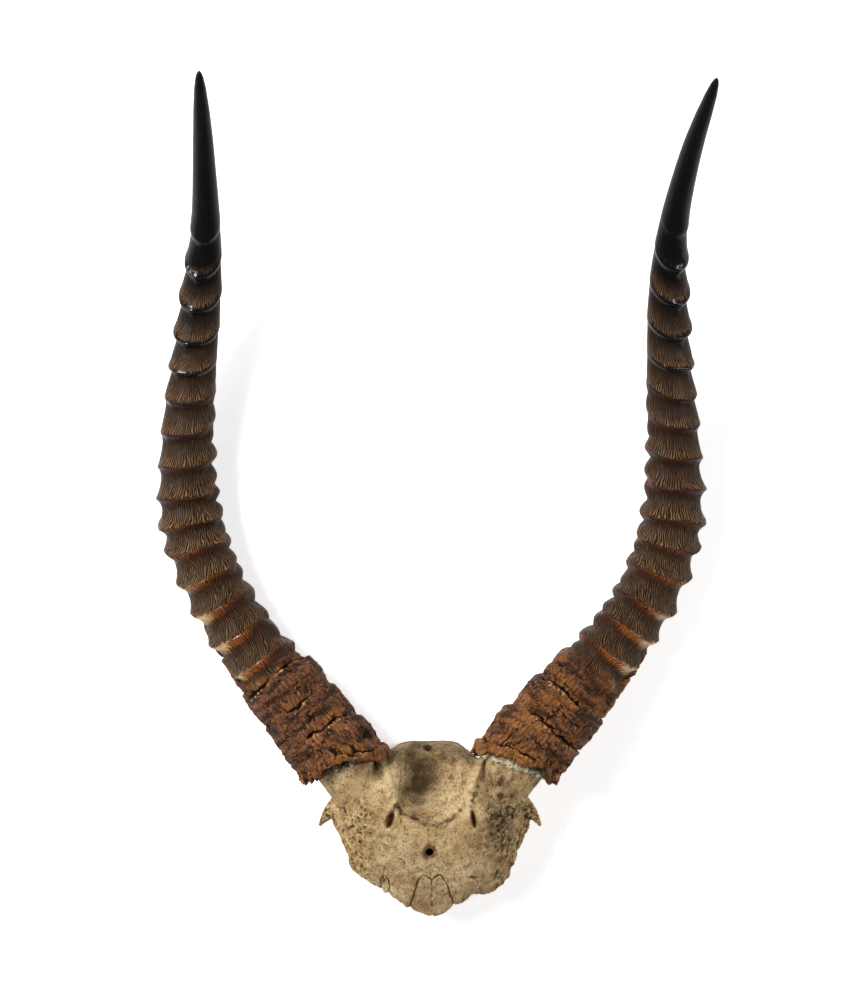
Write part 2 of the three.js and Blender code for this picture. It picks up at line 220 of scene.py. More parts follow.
FOREHEAD = [
    (-218, 17.5), (-214, 22.5), (-205, 31), (-195, 38), (-183, 44.5), (-172, 47), (-164, 45.5),
    (-154, 42.5), (-140, 41), (-120, 38),
]
BRAINCASE = {"y": -157, "half_width": 35, "half_length": 33.5, "height": 43, "power": 4}
CROWN_BLEND = (-160, -149)
SHOULDER = 21
FLANK_FALL = 14
CROWN = 0.002
EDGE_ROLL = 5
ROLL_START = 0.82
UNDERCUT_Y = -190
UNDERCUT_SLOPE = 0.5
BOWL_DEPTH = 9.5
BRAIN_CAVITY = ((MIDLINE, -152, 0), (26, 22.5, 29))
NASAL_CAVITY = ((MIDLINE, -208, 3), (13, 27, 17))
ORBIT_OFFSET = 52
ORBIT = ((-181, 0), (24, 19, 18))

SCREW_RADIUS = 2.1
FOREHEAD_SCREW = (-1.9, -183.3)
FOREHEAD_DRILL = (50, 40)        # height of its middle, and length
REAR_SCREW = (-2.6, -129.6, 31)
REAR_DRILL_LENGTH = 22
REAR_SCREW_TILT = math.radians(38)
HOOK = [(46, -160, 25), (54, -163.5, 24), (58, -171, 22.5)]
HOOK_RADIUS = (8, 0.8)
SADDLE = ((31, -150, 22), (9, 15, 16))
ROOT_ROUNDS = 70

NASALS = {
    "left": [
        (-0.65, -218.2), (-0.65, -208), (-0.65, -199.6), (-2.6, -197.2), (-5.4, -196.2), (-7.6, -199),
        (-9.3, -205.2), (-11.6, -212.8), (-10.2, -215.4), (-6.4, -217),
    ],
    "right": [
        (-0.35, -218.2), (4.6, -217.7), (8, -215.4), (10.6, -211.8), (8.6, -205.2), (6.3, -199),
        (3.9, -196.1), (1.2, -197), (-0.35, -199.6), (-0.35, -208),
    ],
}
CHIP = [
    (-25.8, -196.4), (-26.9, -200), (-26.7, -204), (-25.3, -206.2), (-23.6, -205.6), (-22.8, -201.8),
    (-24, -197.4),
]
BED_DEPTH = 3.9
BED_GAP = 0.3
BED_SAMPLES = 40
INLAY_AROUND = 160
INLAY_FACE_ROWS = 34
INLAY_EDGE_ROWS = 8

# Piece, CAD node, outline, how far it is sunk, thickness and noise seed of each small bone.
SMALL_BONES = [
    ("left_nasal", "nasal_left", NASALS["left"], 0.35, 3.4, 120),
    ("right_nasal", "nasal_right", NASALS["right"], 0.35, 3.4, 121),
    ("chip", "lacrimal_fragment", CHIP, 0.4, 3.6, 130),
]

# ---------------------------------------------------------------- noise


def hashed(cell, seed):
    """A repeatable share from 0 to 1 for each whole-numbered lattice point."""
    i, j, k = (cell[..., axis].astype(np.uint32) for axis in range(3))
    h = i * np.uint32(374761393) + j * np.uint32(668265263) + k * np.uint32(2246822519)
    h = h + np.uint32(seed * 7919 + 13)
    h = (h ^ (h >> np.uint32(13))) * np.uint32(1274126177)
    h = (h ^ (h >> np.uint32(16))) * np.uint32(2246822519)
    return ((h ^ (h >> np.uint32(13))) & np.uint32(0xFFFFFF)) / float(0xFFFFFF)


def noise(points, size, seed=0):
    """Value noise from -1 to 1: random lattice values a size apart, joined by smooth steps."""
    p = points / size
    low = np.floor(p)
    f = p - low
    f = f * f * (3 - 2 * f)
    low = low.astype(np.int64)
    total = np.zeros(points.shape[:-1])
    for corner in np.ndindex(2, 2, 2):
        step = np.array(corner)
        weight = np.prod(np.where(step == 1, f, 1 - f), axis=-1)
        total += weight * hashed(low + step, seed)
    return total * 2 - 1


def rough(points, size, seed=0, octaves=4):
    """Sum of noises, each half the size and height of the one before."""
    return sum(noise(points, size / 2**i, seed + i) / 2**i for i in range(octaves))


def nearest(points, spacing, seed=0):
    """Distance to the nearest of scattered points, one in each cell, as a share of the spacing."""
    p = points / spacing
    low = np.floor(p).astype(np.int64)
    best = np.full(points.shape[:-1], 9.0)
    for corner in np.ndindex(3, 3, 3):
        cell = low + np.array(corner) - 1
        spot = cell + np.stack([hashed(cell, seed + axis) for axis in range(3)], axis=-1)
        best = np.minimum(best, np.linalg.norm(spot - p, axis=-1))
    return best


def on_tube(radius, angle, along):
    """Points on a straight round tube, where noise has no seam."""
    parts = np.broadcast_arrays(radius * np.cos(angle), radius * np.sin(angle), along)
    return np.stack(parts, axis=-1)


def flat_place(x, y):
    return np.stack([x, y, np.zeros_like(x)], axis=-1)


# ---------------------------------------------------------------- curves and meshes


def cubic(before, start, end, after):
    """Coefficients of the share, its square and its cube on a Catmull-Rom curve's piece from start
    to end."""
    leave, arrive = (end - before) / 2, (after - start) / 2
    return leave, 3 * (end - start) - 2 * leave - arrive, 2 * (start - end) + leave + arrive


def catmull_rom(points, t):
    """Place and direction at share t of a uniform Catmull-Rom curve, its ends run on straight."""
    padded = np.vstack([2 * points[0] - points[1], points, 2 * points[-1] - points[-2]])
    span = np.clip(t, 0, 1) * (len(points) - 1)
    i = np.minimum(span.astype(int), len(points) - 2)
    w = (span - i)[..., None]
    before, start, end, after = (padded[i + step] for step in range(4))
    leave, square, cube = cubic(before, start, end, after)
    place = start + leave * w + square * w**2 + cube * w**3
    return place, leave + 2 * square * w + 3 * cube * w**2


def closed_curve(points, samples):
    """Points evenly spread in parameter on a closed uniform Catmull-Rom curve."""
    points = np.array(points, float)
    span = np.arange(samples) / samples * len(points)
    i = span.astype(int)
    w = (span - i)[:, None]
    before, start, end, after = (points[(i + step) % len(points)] for step in (-1, 0, 1, 2))
    leave, square, cube = cubic(before, start, end, after)
    return start + leave * w + square * w**2 + cube * w**3


def unit(v):
    return v / np.linalg.norm(v, axis=-1, keepdims=True)


def carry(horn, u, angle, radius):
    """Points round a horn's middle line: at distance u along it and that radius out from it, with
    angle 0 outward and a quarter turn up. The depth is the width times DEPTH_RATIO."""
    t = (u + ROUTE_STEP) / (ROUTE_STEP * (len(horn.route) - 1))
    centre, along = catmull_rom(horn.route, t)
    along = unit(along)
    out = unit(np.cross(np.array([0, 0, horn.side], float), along))
    up = horn.side * np.cross(along, out)
    return (
        centre
        + out * (radius * np.cos(angle))[..., None]
        + up * (radius * np.sin(angle) * DEPTH_RATIO)[..., None]
    )


def ring_angles(count):
    return np.arange(count) / count * TURN


def quads(rows, around, wrap_rows=False):
    """Corner numbers of the faces between neighbouring rows of a grid that closes round itself."""
    last = rows if wrap_rows else rows - 1
    i = np.repeat(np.arange(last), around)
    j = np.tile(np.arange(around), last)
    right = (j + 1) % around
    above = (i + 1) % rows
    corners = [i * around + j, i * around + right, above * around + right, above * around + j]
    return np.stack(corners, axis=1)


class Shell:
    """A closed surface: points, four-cornered and three-cornered faces, and named values per point."""

    def __init__(self, points, fours, threes=None, **values):
        self.points = points
        self.fours = fours
        self.threes = np.zeros((0, 3), int) if threes is None else threes
        self.values = values
        if self.volume() < 0:
            self.fours = self.fours[:, ::-1]
            self.threes = self.threes[:, ::-1]

    def volume(self):
        """Sum over the triangles of a sixth of the triple product of their corners."""
        triangles = np.vstack([self.threes, self.fours[:, [0, 1, 2]], self.fours[:, [0, 2, 3]]])
        a, b, c = (self.points[triangles[:, corner]] for corner in range(3))
        return np.sum(a * np.cross(b, c)) / 6

    def joined(self, other):
        """This surface and another as one, without their values."""
        start = len(self.points)
        return Shell(
            np.vstack([self.points, other.points]),
            np.vstack([self.fours, other.fours + start]),
            np.vstack([self.threes, other.threes + start]),
        )

    def mesh(self, name):
        """A Blender mesh in metres, smooth shaded, with the values as vector attributes."""
        mesh = bpy.data.meshes.new(name)
        corners = np.concatenate([self.fours.ravel(), self.threes.ravel()])
        sizes = np.concatenate([np.full(len(self.fours), 4), np.full(len(self.threes), 3)])
        mesh.vertices.add(len(self.points))
        mesh.loops.add(len(corners))
        mesh.polygons.add(len(sizes))
        mesh.vertices.foreach_set("co", (self.points * MM).ravel().astype(np.float32))
        mesh.loops.foreach_set("vertex_index", corners.astype(np.int32))
        mesh.polygons.foreach_set("loop_start", (np.cumsum(sizes) - sizes).astype(np.int32))
        mesh.update(calc_edges=True)
        finish_mesh(mesh, self.values)
        return mesh


def finish_mesh(mesh, values):
    """Smooth shading, and each named value as a vector attribute of the points."""
    mesh.polygons.foreach_set("use_smooth", np.ones(len(mesh.polygons), bool))
    for name, value in values.items():
        attribute = mesh.attributes.new(name, "FLOAT_VECTOR", "POINT")
        attribute.data.foreach_set("vector", np.ascontiguousarray(value, np.float32).ravel())
    mesh.update()


def ball(rows, **values):
    """A grid of points, row by row round an axis, closed at both ends on the mean of its end rows."""
    count, around = rows.shape[:2]
    flat = np.vstack([rows.reshape(-1, 3), rows[:1].mean(1), rows[-1:].mean(1)])
    first, last = count * around, count * around + 1
    j = np.arange(around)
    right = (j + 1) % around
    top = (count - 1) * around
    start_fan = np.stack([np.full(around, first), right, j], axis=1)
    end_fan = np.stack([np.full(around, last), top + j, top + right], axis=1)
    spread = {
        name: np.vstack([value.reshape(-1, 3), value[:1].mean(1), value[-1:].mean(1)])
        for name, value in values.items()
    }
    return Shell(flat, quads(count, around), np.vstack([start_fan, end_fan]), **spread)


def ring(rows, **values):
    """A grid of points that closes on itself both ways, as a doughnut does."""
    count, around = rows.shape[:2]
    flat = {name: value.reshape(-1, 3) for name, value in values.items()}
    return Shell(rows.reshape(-1, 3), quads(count, around, wrap_rows=True), **flat)


def add_piece(name, mesh, material, slot, *nodes):
    """Puts a finished mesh in the scene, in place of the CAD nodes that it stands for."""
    piece = bpy.data.objects.new(name, mesh)
    bpy.context.scene.collection.objects.link(piece)
    mesh.materials.clear()
    mesh.materials.append(material)
    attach(piece, "root")
    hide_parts(*nodes)
    return piece


# ---------------------------------------------------------------- horn sheath


def spread_rows(count, valley):
    """Shares from 0 to 1 of one ring's length, closer together at its crest and in its crease."""
    t = np.linspace(0, 1, 400)
    density = 1 + 1.6 * hump(t - valley, 0.07) + 1.2 * (hump(t, 0.08) + hump(t - 1, 0.08))
    steps = np.cumsum(density) - density[0]
    return np.interp(np.arange(count) / count, steps / steps[-1], t)


def course_rows(horn):
    """Ring numbers of the rows: -1 at the rim, 0 at the first crest, 17 at the last, 20 at the tip."""
    last = len(horn.rings) - 1
    rim = -1 + np.linspace(0, 1, RIM_ROWS, endpoint=False) ** 1.2
    rings = [
        k + spread_rows(BARK_ROWS if u < BARK_TOP else RING_ROWS, read(VALLEY_SHARE, u))
        for k, u in enumerate(horn.rings)
    ]
    tip = last + 1 + 2 * np.linspace(0, 1, TIP_ROWS) ** 0.8
    return np.concatenate([rim, *rings, tip])


def course_distance(horn, course):
    """Distance from the rim at a ring number."""
    last = len(horn.rings) - 1
    numbers = [-1, *range(last + 1), last + 1, last + 3]
    return np.interp(course, numbers, [0, *horn.rings, horn.rings[-1] + LAST_RING_LENGTH, HORN_LENGTH])


def valley_shares(phase, valley):
    """How far a place is from the crest below it to the valley, and from the crest above it."""
    return np.clip(phase / valley, 0, 1), np.clip((1 - phase) / (1 - valley), 0, 1)


def ring_profile(phase, valley, roundness):
    """Height from -1 in the valley to 1 on the crests: beads over broad valleys, or with roundness
    a wave that leans towards the rim."""
    before, after = valley_shares(phase, valley)
    down = np.where(phase < valley, before, after)
    return blend(2 * np.exp(-((down / 0.42) ** 1.5)) - 1, np.cos(math.pi * down**1.2), roundness)


def shoulder_profile(phase, valley):
    """Height from -1 to 1 of the folds of the base: a notch with a sharp shoulder towards the rim
    and a long slope towards the tip."""
    before, after = valley_shares(phase, valley)
    return np.where(phase < valley, 1 - 2 * before**6, 1 - 2 * after**1.3)


def bark_share(horn, u, angle):
    """How far the rough bark of the base covers a place: all of it near the rim, and further up the
    back of the outer side."""
    reach = u + 9 * noise(on_tube(16, angle, u), 7, horn.seed + 5) - 34 * beside(angle, -0.35, 0.6)
    return 1 - ease(reach, 55, 69)


def ragged_rim(horn, angle):
    """Distance that the broken rim stands in or out, with deep chips and standing flakes."""
    around = on_tube(20, angle, 0.0)
    outer = beside(angle, 0.2, 0.8)
    flakes = np.maximum(noise(around, 2.6, horn.seed + 61) - 0.12, 0) * (3.4 + 5 * outer) + 1.6 * outer
    chips = np.maximum(noise(around, 3.6, horn.seed + 62) - 0.25, 0) * 4
    fray = noise(around, 9, horn.seed + 60) + 0.8 * noise(around, 1.3, horn.seed + 63)
    return fray - flakes + chips


def rolled_rim(angle):
    """Where the rim is turned out in a thick roll: 1 in the middle of its inner upper side."""
    return ease(np.cos(angle - 2.3), 0.35, 0.95)


def bark_relief(horn, course, angle, u, place):
    """Height of the bark of the base: lumps and folds with scales on them, cut by cracks, ledges and
    pits, and turned out in a roll at the rim. Also how bright it is painted: the raised worn edges
    beside the ledges get a painted highlight, and the cuts get painted shade."""
    phase = course - np.floor(course)
    valley = read(VALLEY_SHARE, u)
    past_valley = phase > valley
    crease_place = place * np.array([1, 1, 0.8])
    lumps = rough(crease_place, 9, horn.seed + 20, 4)

    crack_place = place * np.array([2.2, 2.2, 0.8]) + 1.2 * noise(place, 2.5, horn.seed + 29)[..., None]
    crack_field = noise(crack_place, 5.2, horn.seed + 30)
    slope = np.clip((phase - valley) / (1 - valley), 0, 1)
    cracks = hump(crack_field, 0.07) * ease(noise(place, 6, horn.seed + 31), -0.2, 0.2)
    cracks = cracks * (0.3 + 0.7 * past_valley * (1 - ease(slope, 0.4, 0.9)))

    ledge_field = course - np.round(course - valley) - valley
    ledge_field = ledge_field + 0.10 * noise(crease_place, 6, horn.seed + 32)
    ledge_field = ledge_field + 0.05 * noise(place, 1.8, horn.seed + 36)
    ledge_depth = ease(noise(crease_place, 12, horn.seed + 33), -0.45, 0.25)
    ledges = hump(ledge_field, 0.03) * ledge_depth
    # Raised worn edge beside each ledge, which also gets a painted highlight.
    worn_edge_highlight = hump(ledge_field + 0.08, 0.035) * ledge_depth
    second = hump(ledge_field - 0.42 + 0.12 * noise(crease_place, 4, horn.seed + 34), 0.025)
    second = second * ease(noise(crease_place, 7, horn.seed + 35), -0.1, 0.3)

    pits = ease(0.26 - nearest(place, 3.8, horn.seed + 40), 0, 0.12)
    pits = pits * ease(noise(place, 7, horn.seed + 42), 0.0, 0.4)
    height = 0.6 * lumps - 0.7 * cracks - 2.3 * ledges + 0.7 * worn_edge_highlight - 1.2 * second - 0.7 * pits
    folds = rough(place * np.array([0.22, 0.22, 1]), 2.6, horn.seed + 44, 2)
    height += 0.6 * folds * (0.4 + 0.6 * past_valley) + 2 * rolled_rim(angle) * hump(u - 4, 3.6)
    scaly = 0.6 * np.abs(noise(place * np.array([1, 1, 0.6]), 2.2, horn.seed + 41))
    scaly = scaly + 0.4 * np.abs(noise(place, 1.1, horn.seed + 43))
    # Painted shade in the ledges, the second ledges, the cracks and the pits.
    shadow = np.clip(ledges + 0.8 * second + 0.7 * cracks + 0.6 * pits, 0, 1)
    return height + scaly * (0.4 + 0.6 * past_valley), 0.5 + 0.5 * worn_edge_highlight - 0.8 * shadow


def sheath_wall(horn):
    """Outer wall of a sheath on a grid of ring number by angle. The radius is the girth plus the
    ring height times its profile, with a bead on each crest, ribs on the inner side, and a knob where
    an upper ring hangs lowest. Each ring is slid along the horn by a curve of the angle, so that it
    hangs like a collar. The bark of the base has a relief of its own."""
    course = course_rows(horn)[:, None]
    angle = ring_angles(SHEATH_AROUND)[None, :]
    course, angle = np.broadcast_arrays(course, angle)
    u = course_distance(horn, course)
    phase = course - np.floor(course)
    valley = read(VALLEY_SHARE, u)
    bearing = droop_bearing(horn, u)
    girth = read(GIRTH, u)
    place = on_tube(girth, angle, u)
    wander_place = on_tube(1.5, angle, course * 0.9)

    bark = bark_share(horn, u, angle)
    high = ease(u, 150, 235)
    low = 1 - ease(u, 175, 235)
    ringed = 1 - ease(u, 292, 308)
    thick = ease(u, 218, 252)
    facing = (0.5 + 0.5 * np.cos(angle - 0.9 * bearing)) ** 1.3
    inner = ease(-np.cos(angle - 0.3), 0.3, 0.85)
    outer = beside(angle, -0.1, 0.6)

    strength = np.maximum(facing, low) * (1 - 0.6 * inner * low * (1 - bark))
    strength = strength * (1 - 0.35 * outer * ease(u, 165, 200) * (1 - ease(u, 235, 262)))
    strength = strength * (1 + 0.25 * noise(wander_place, 1.7, horn.seed + 2))
    strength = blend(strength, 0.3 + 0.6 * inner, bark)
    profile = ring_profile(phase, valley, np.maximum(inner, 0.8 * high))
    profile = blend(profile, shoulder_profile(phase, valley), bark)
    rib_turn = course * 1.6 + 0.3 * noise(wander_place, 1.3, horn.seed + 3)
    ribs = 2.7 * np.abs(np.cos(math.pi * rib_turn)) - 2.4
    relief = read(RING_HEIGHT, u) * strength * profile + inner * low * ribs * (1 - bark)
    crest = np.minimum(phase, 1 - phase)
    relief += (0.2 + 1.0 * thick) * high * facing * hump(crest, 0.05 + 0.06 * thick) * ringed
    knob = hump(angle - bearing, 0.2) * high * ringed
    relief += knob * (0.8 * hump(phase - 0.84, 0.13) + 0.7 * hump(crest, 0.07))
    relief += 0.45 * hump(crest, 0.06) * (1 - high) * (1 - bark) * (1 - 0.6 * inner)
    fibres = noise(place * np.array([1, 1, 0.12]), 0.95, horn.seed + 7)
    fibrous = (1 - bark) * (1 - ease(u, 290, 306))
    relief += 0.1 * fibres * fibrous
    bark_height, bark_light = bark_relief(horn, course, angle, u, place)
    relief += bark * bark_height

    shifted = (
        u
        + horn.rim_skew * np.cos(angle) * (1 - ease(u, 0, 45))
        - read(RING_DROOP, u) * ring_hang(horn, u, angle)
        + noise(wander_place, 1, horn.seed) * read(RING_WANDER, u)
        + ragged_rim(horn, angle) * (1 - ease(u, 0, 9))
    )
    return SimpleNamespace(
        course=course, angle=angle, u=u, phase=phase, valley=valley, place=place, inner=inner,
        bark=bark, bark_light=bark_light, rim=shifted[0],
        points=carry(horn, shifted, angle, girth + relief),
    )


def sheath_marks(horn, wall):
    """Three vectors per point for the finish: where the strands run; how smooth, orange and cream
    the lips are; and how black, barky and bright the surface is, with the bark's painted highlight
    and painted shade in its brightness."""
    angle, u, phase, valley = wall.angle, wall.u, wall.phase, wall.valley
    place, inner, bark = wall.place, wall.inner, wall.bark
    start = read(SKIRT_START, u)
    end = read(SKIRT_END, u)
    bundle_place = on_tube(16, angle, wall.course * 7)
    outward = beside(angle, 0.55, 0.5)
    low = 1 - ease(u, 95, 175)
    end = end + 0.045 * noise(bundle_place, 1.1, horn.seed + 70)
    knobs = np.maximum(beside(angle, -0.1, 0.4), 0.7 * inner)
    start = start - 0.05 * np.abs(noise(bundle_place, 1.6, horn.seed + 71)) - 0.08 * low * outward
    start = start - 0.05 * knobs * ease(u, 90, 130) * (1 - ease(u, 225, 250))
    down = np.clip((start - phase) / (start - end), 0, 1)
    skirt = ease(phase, end - 0.02, end + 0.02) * (1 - ease(phase, start - 0.03, start + 0.03))
    skirt = np.maximum(skirt, ease(u, 298, 310))

    girth = read(GIRTH, u)
    sweep = 4.5 * low * beside(angle, 0.3, 0.8) * ease(phase, 0.74, 1)
    hook = (1.2 + 4.5 * low) * down**2 * skirt + sweep
    fan = 0.22 * (1 - low) * down**1.5 * np.sin(angle - 1.4)
    strand = on_tube(girth, blend(angle + hook / girth - fan, angle, bark), u)

    fresh = ease(u, 54, 68)
    below = np.where(phase > 0.5, np.clip((1 - phase) / (1 - start), 0, 1), 0)
    cream = fresh * outward * (1 - ease(u, 90, 150)) * (1 + 0.5 * noise(bundle_place, 9, horn.seed + 73))
    cream = cream * (1.1 - 0.8 * below)
    glow = beside(angle, 1.15, 0.75)
    worn = np.maximum(beside(angle, -0.1, 0.5), 0.7 * inner)
    orange = np.maximum(glow * (1 - ease(u, 90, 175)), worn * 0.8 * (1 - ease(u, 200, 250)))
    orange = 0.85 * orange * (1.1 - 0.9 * below) * (1 + 0.5 * noise(bundle_place, 12, horn.seed + 74))
    amber = 0.35 * (1 - horn.side) * ease(noise(place, 10, horn.seed + 78), -0.3, 0.4)

    slope = np.clip((phase - valley) / (1 - valley), 0, 1)
    polished = (phase < valley) * ease(noise(place, 8, horn.seed + 77), -0.5, 0.1)
    hollow = hump(slope - 0.15, 0.2) * (phase > valley)
    hollow = hollow * ease(noise(place, 9, horn.seed + 75), -0.2, 0.3)
    at_rim = 1 - ease(u, 2, 8 + 3 * rolled_rim(angle))
    at_rim = at_rim * ease(noise(place, 3, horn.seed + 76), -0.4, 0.2)
    lip = np.stack([
        blend((1 - skirt) * (1 - 0.4 * inner * ease(u, 60, 80)), polished, bark),
        np.clip(blend(orange, hollow + at_rim + amber, bark), 0, 1),
        np.clip(cream, 0, 1) * (1 - bark),
    ], axis=-1)

    facing = 0.5 + 0.5 * np.cos(angle - droop_bearing(horn, u))
    further = ease(u, 120, 200)
    skirt_glow = blend(0.4 - 0.25 * further, 1.0, down ** blend(0.8, 1.5, further)) * skirt
    skirt_glow = skirt_glow * blend(0.78, 1.0, ease(u, 95, 150))
    knob = ease(u, 176, 200) * (1 - skirt) * ease(phase, 0.8, 0.97) * facing**6
    black = ease(u, 278, 304) + (1 - skirt) * ease(u, 200, 246) * (0.5 + 0.5 * facing) + knob
    black += ease(u, 215, 285) * (1 - down) ** 0.8 * skirt
    black = np.clip(np.maximum(black, ease(u, 205, 285) * 0.8 * (1 - facing)), 0, 1)
    # On the bark the brightness carries the painted highlight of the ledge edges and the painted shade
    # of the cuts.
    bright = blend(skirt_glow, wall.bark_light, bark)
    coat = np.stack([black, bark, np.clip(bright, 0, 1)], axis=-1)
    return strand, lip, coat


def sheath_shell(horn):
    """The outer wall from tip to rim, the broken edge, and the socket wall down to its blind end."""
    wall = sheath_wall(horn)
    marks = sheath_marks(horn, wall)

    depth = np.array(SOCKET_DEPTHS)[:, None]
    turn = np.broadcast_to(ring_angles(SHEATH_AROUND)[None, :], (len(depth), SHEATH_AROUND))
    deep = ease(depth, 0, 30)
    inner_u = blend(wall.rim[None, :], depth, deep) + depth * (1 - deep) * 0.6
    inner_place = on_tube(17, turn, inner_u)
    flared = read(GIRTH, np.maximum(inner_u, 0)) - read(EDGE_THICKNESS, depth)
    flared = flared + 0.5 * noise(inner_place, 3, horn.seed + 80)
    snug = read(CORE, inner_u) + SOCKET_GAP
    radius = blend(flared, snug, ease(depth, 6, 20)) * read(SOCKET_CLOSING, depth)
    inside = carry(horn, inner_u, turn, radius)

    points = np.vstack([wall.points[::-1], inside])
    points[..., 2] = np.maximum(points[..., 2], FLOOR_CLEARANCE)
    # Painted shade in the socket: the wall is mixed towards the tip's black the deeper it goes, and its
    # low brightness lays the bark's painted shade over it.
    socket_shade = 0.35 * ease(depth + 0 * turn, 2, 9)
    inner_coat = np.stack([socket_shade, np.ones_like(turn), np.full_like(turn, 0.32)], axis=-1)
    inner_marks = (inner_place, np.zeros_like(inner_place), inner_coat)
    strand, lip, coat = (np.vstack([mark[::-1], more]) for mark, more in zip(marks, inner_marks))
    return ball(points, strand=strand, lip=lip, coat=coat)


# ---------------------------------------------------------------- skull plate


def plate_edge():
    """Distance from the plate's centre to its outline, as a table against the bearing."""
    edge = closed_curve(OUTLINE, OUTLINE_SAMPLES) - np.array(PLATE_CENTRE)
    bearing = np.arctan2(edge[:, 1], edge[:, 0])
    order = np.argsort(bearing)
    reach = np.linalg.norm(edge, axis=1)
    return bearing[order], reach[order]


EDGE_BEARING, EDGE_REACH = plate_edge()


def edge_reach(bearing):
    """Distance from the plate's centre to its outline at a bearing, chipped a little all round."""
    chips = on_tube(40, bearing, 0.0)
    ragged = 0.55 * noise(chips, 2.6, 5) + 0.35 * noise(chips, 1.2, 6)
    sawn = ease(np.sin(bearing), 0.9, 0.5)
    return np.interp(bearing, EDGE_BEARING, EDGE_REACH, period=TURN) + ragged * (0.15 + 0.85 * sawn)


def line_distance(x, y, route):
    """Distance from each place to a bent line of (x, y) points, and the share of its length there."""
    route = np.array(route, float)
    best = np.full(np.shape(x), 1e9)
    share = np.zeros(np.shape(x))
    for i, (start, end) in enumerate(zip(route[:-1], route[1:])):
        step = end - start
        t = np.clip(((x - start[0]) * step[0] + (y - start[1]) * step[1]) / (step @ step), 0, 1)
        d = np.hypot(x - start[0] - t * step[0], y - start[1] - t * step[1])
        share = np.where(d < best, (i + t) / (len(route) - 1), share)
        best = np.minimum(best, d)
    return best, share


TEMPORAL_RIDGES = [
    [(-29.5, -133), (-27.4, -137), (-24.2, -142), (-22, -149), (-20.4, -156), (-20.2, -163)],
    [(26.8, -134), (24.4, -138.5), (20.9, -146), (19.6, -152), (19.4, -163)],
]
CORONAL_SUTURE = [
    (-19.5, -159.5), (-16.1, -162.2), (-12.4, -164), (-7.7, -167.2), (-1.2, -170.5), (5.3, -168.2),
    (10, -165.4), (14.2, -160.8), (17, -157),
]
FRONTAL_SUTURE = [(-1.5, -187), (-1.3, -192), (-1.2, -196), (-0.5, -200)]
FORAMINA = [(-22.3, -166.4, 2.1, 4.6, 0.32), (21.2, -165.9, 1.35, 5.2, -0.2)]
SULCI = [
    [(-23.5, -170), (-26, -176), (-27.5, -184), (-27, -193)],
    [(22.5, -170.5), (24.5, -177), (25.5, -184), (24.5, -192)],
]
CRACKS = [
    [(20.6, -196.5), (23.5, -200.5), (25.4, -205.8)],
    [(33.5, -148), (31, -152.5), (30, -158), (28.5, -161.5)],
    [(20.5, -158), (22.3, -153.5), (23, -149.5)],
    [(-24.8, -192.5), (-26.2, -196.5), (-25.4, -199.2)],
]


def plate_top(x, y):
    """Height of the plate's upper surface: a curved forehead that hands over to the domed braincase,
    with a hollow between the horns, swellings under them and rolled side edges."""
    a = np.abs(x - MIDLINE)
    case = BRAINCASE
    inside = (
        1
        - (a / case["half_width"]) ** case["power"]
        - (np.abs(y - case["y"]) / case["half_length"]) ** case["power"]
    )
    dome = case["height"] * np.maximum(inside, 0) ** 0.3
    fall = FLANK_FALL * (np.maximum(a - SHOULDER, 0) / 30) ** 1.6
    forehead = read_rounded(FOREHEAD, y, 11) - CROWN * a * a - fall
    top = blend(forehead, dome, ease(y, *CROWN_BLEND))
    top = top + 9 * np.exp(-((a - 36) ** 2 + (y + 160) ** 2) / 13**2)
    top = top - BOWL_DEPTH * spot(a, y, (0, -146), (15.5, 15), 4)
    dx, dy = x - PLATE_CENTRE[0], y - PLATE_CENTRE[1]
    share = np.hypot(dx, dy) / np.interp(np.arctan2(dy, dx), EDGE_BEARING, EDGE_REACH, period=TURN)
    rolled = np.maximum(ease(np.abs(dx), 10, 26), ease(dy, 15, 30))
    return top - EDGE_ROLL * rolled * ease(share, ROLL_START, 1) ** 1.5


def plate_detail(x, y):
    """Height added to the upper surface by its ridges, sutures, sulci, slots and cracks."""
    place = flat_place(x, y)
    zigzag = 0.9 * noise(place, 2.3, 90)
    detail = np.zeros_like(x)
    d, _ = line_distance(x, y, CORONAL_SUTURE)
    gaps = ease(noise(place, 5, 91), -0.5, 0.2)
    detail -= 0.8 * hump(d + zigzag, 0.55) * gaps
    d, _ = line_distance(x, y, FRONTAL_SUTURE)
    detail -= 0.55 * hump(d + 0.3 * zigzag, 0.5)
    for sulcus in SULCI:
        d, share = line_distance(x, y, sulcus)
        detail -= 0.9 * hump(d, 2.0) * (1 - share)
    for crack in CRACKS:
        d, _ = line_distance(x, y, crack)
        detail -= 1.5 * hump(d + 0.25 * zigzag, 0.42)
    for cx, cy, half_width, half_length, turn in FORAMINA:
        across = (x - cx) * math.cos(turn) - (y - cy) * math.sin(turn)
        along = (x - cx) * math.sin(turn) + (y - cy) * math.cos(turn)
        slot = 1 - (across / half_width) ** 2 - (along / half_length) ** 2
        detail -= 6 * np.sqrt(np.clip(slot, 0, 1))
        away = np.sqrt((across / half_width) ** 2 + (along / half_length) ** 2)
        detail += 0.8 * hump(away - 1.35, 0.3)
    return detail


def inside_outline(x, y, points, grow):
    """1 inside a closed outline widened by grow, and 0 outside, over a step half a millimetre wide."""
    curve = np.vstack([points, points[:1]])
    d, _ = line_distance(x, y, curve)
    crossings = np.zeros(np.shape(x), int)
    for (x0, y0), (x1, y1) in zip(curve[:-1], curve[1:]):
        spans = (y0 > y) != (y1 > y)
        meet = x0 + (y - y0) * (x1 - x0) / (y1 - y0 if y1 != y0 else 1)
        crossings += spans & (x < meet)
    signed = np.where(crossings % 2 == 1, d, -d)
    return ease(signed + grow, -0.2, 0.2)


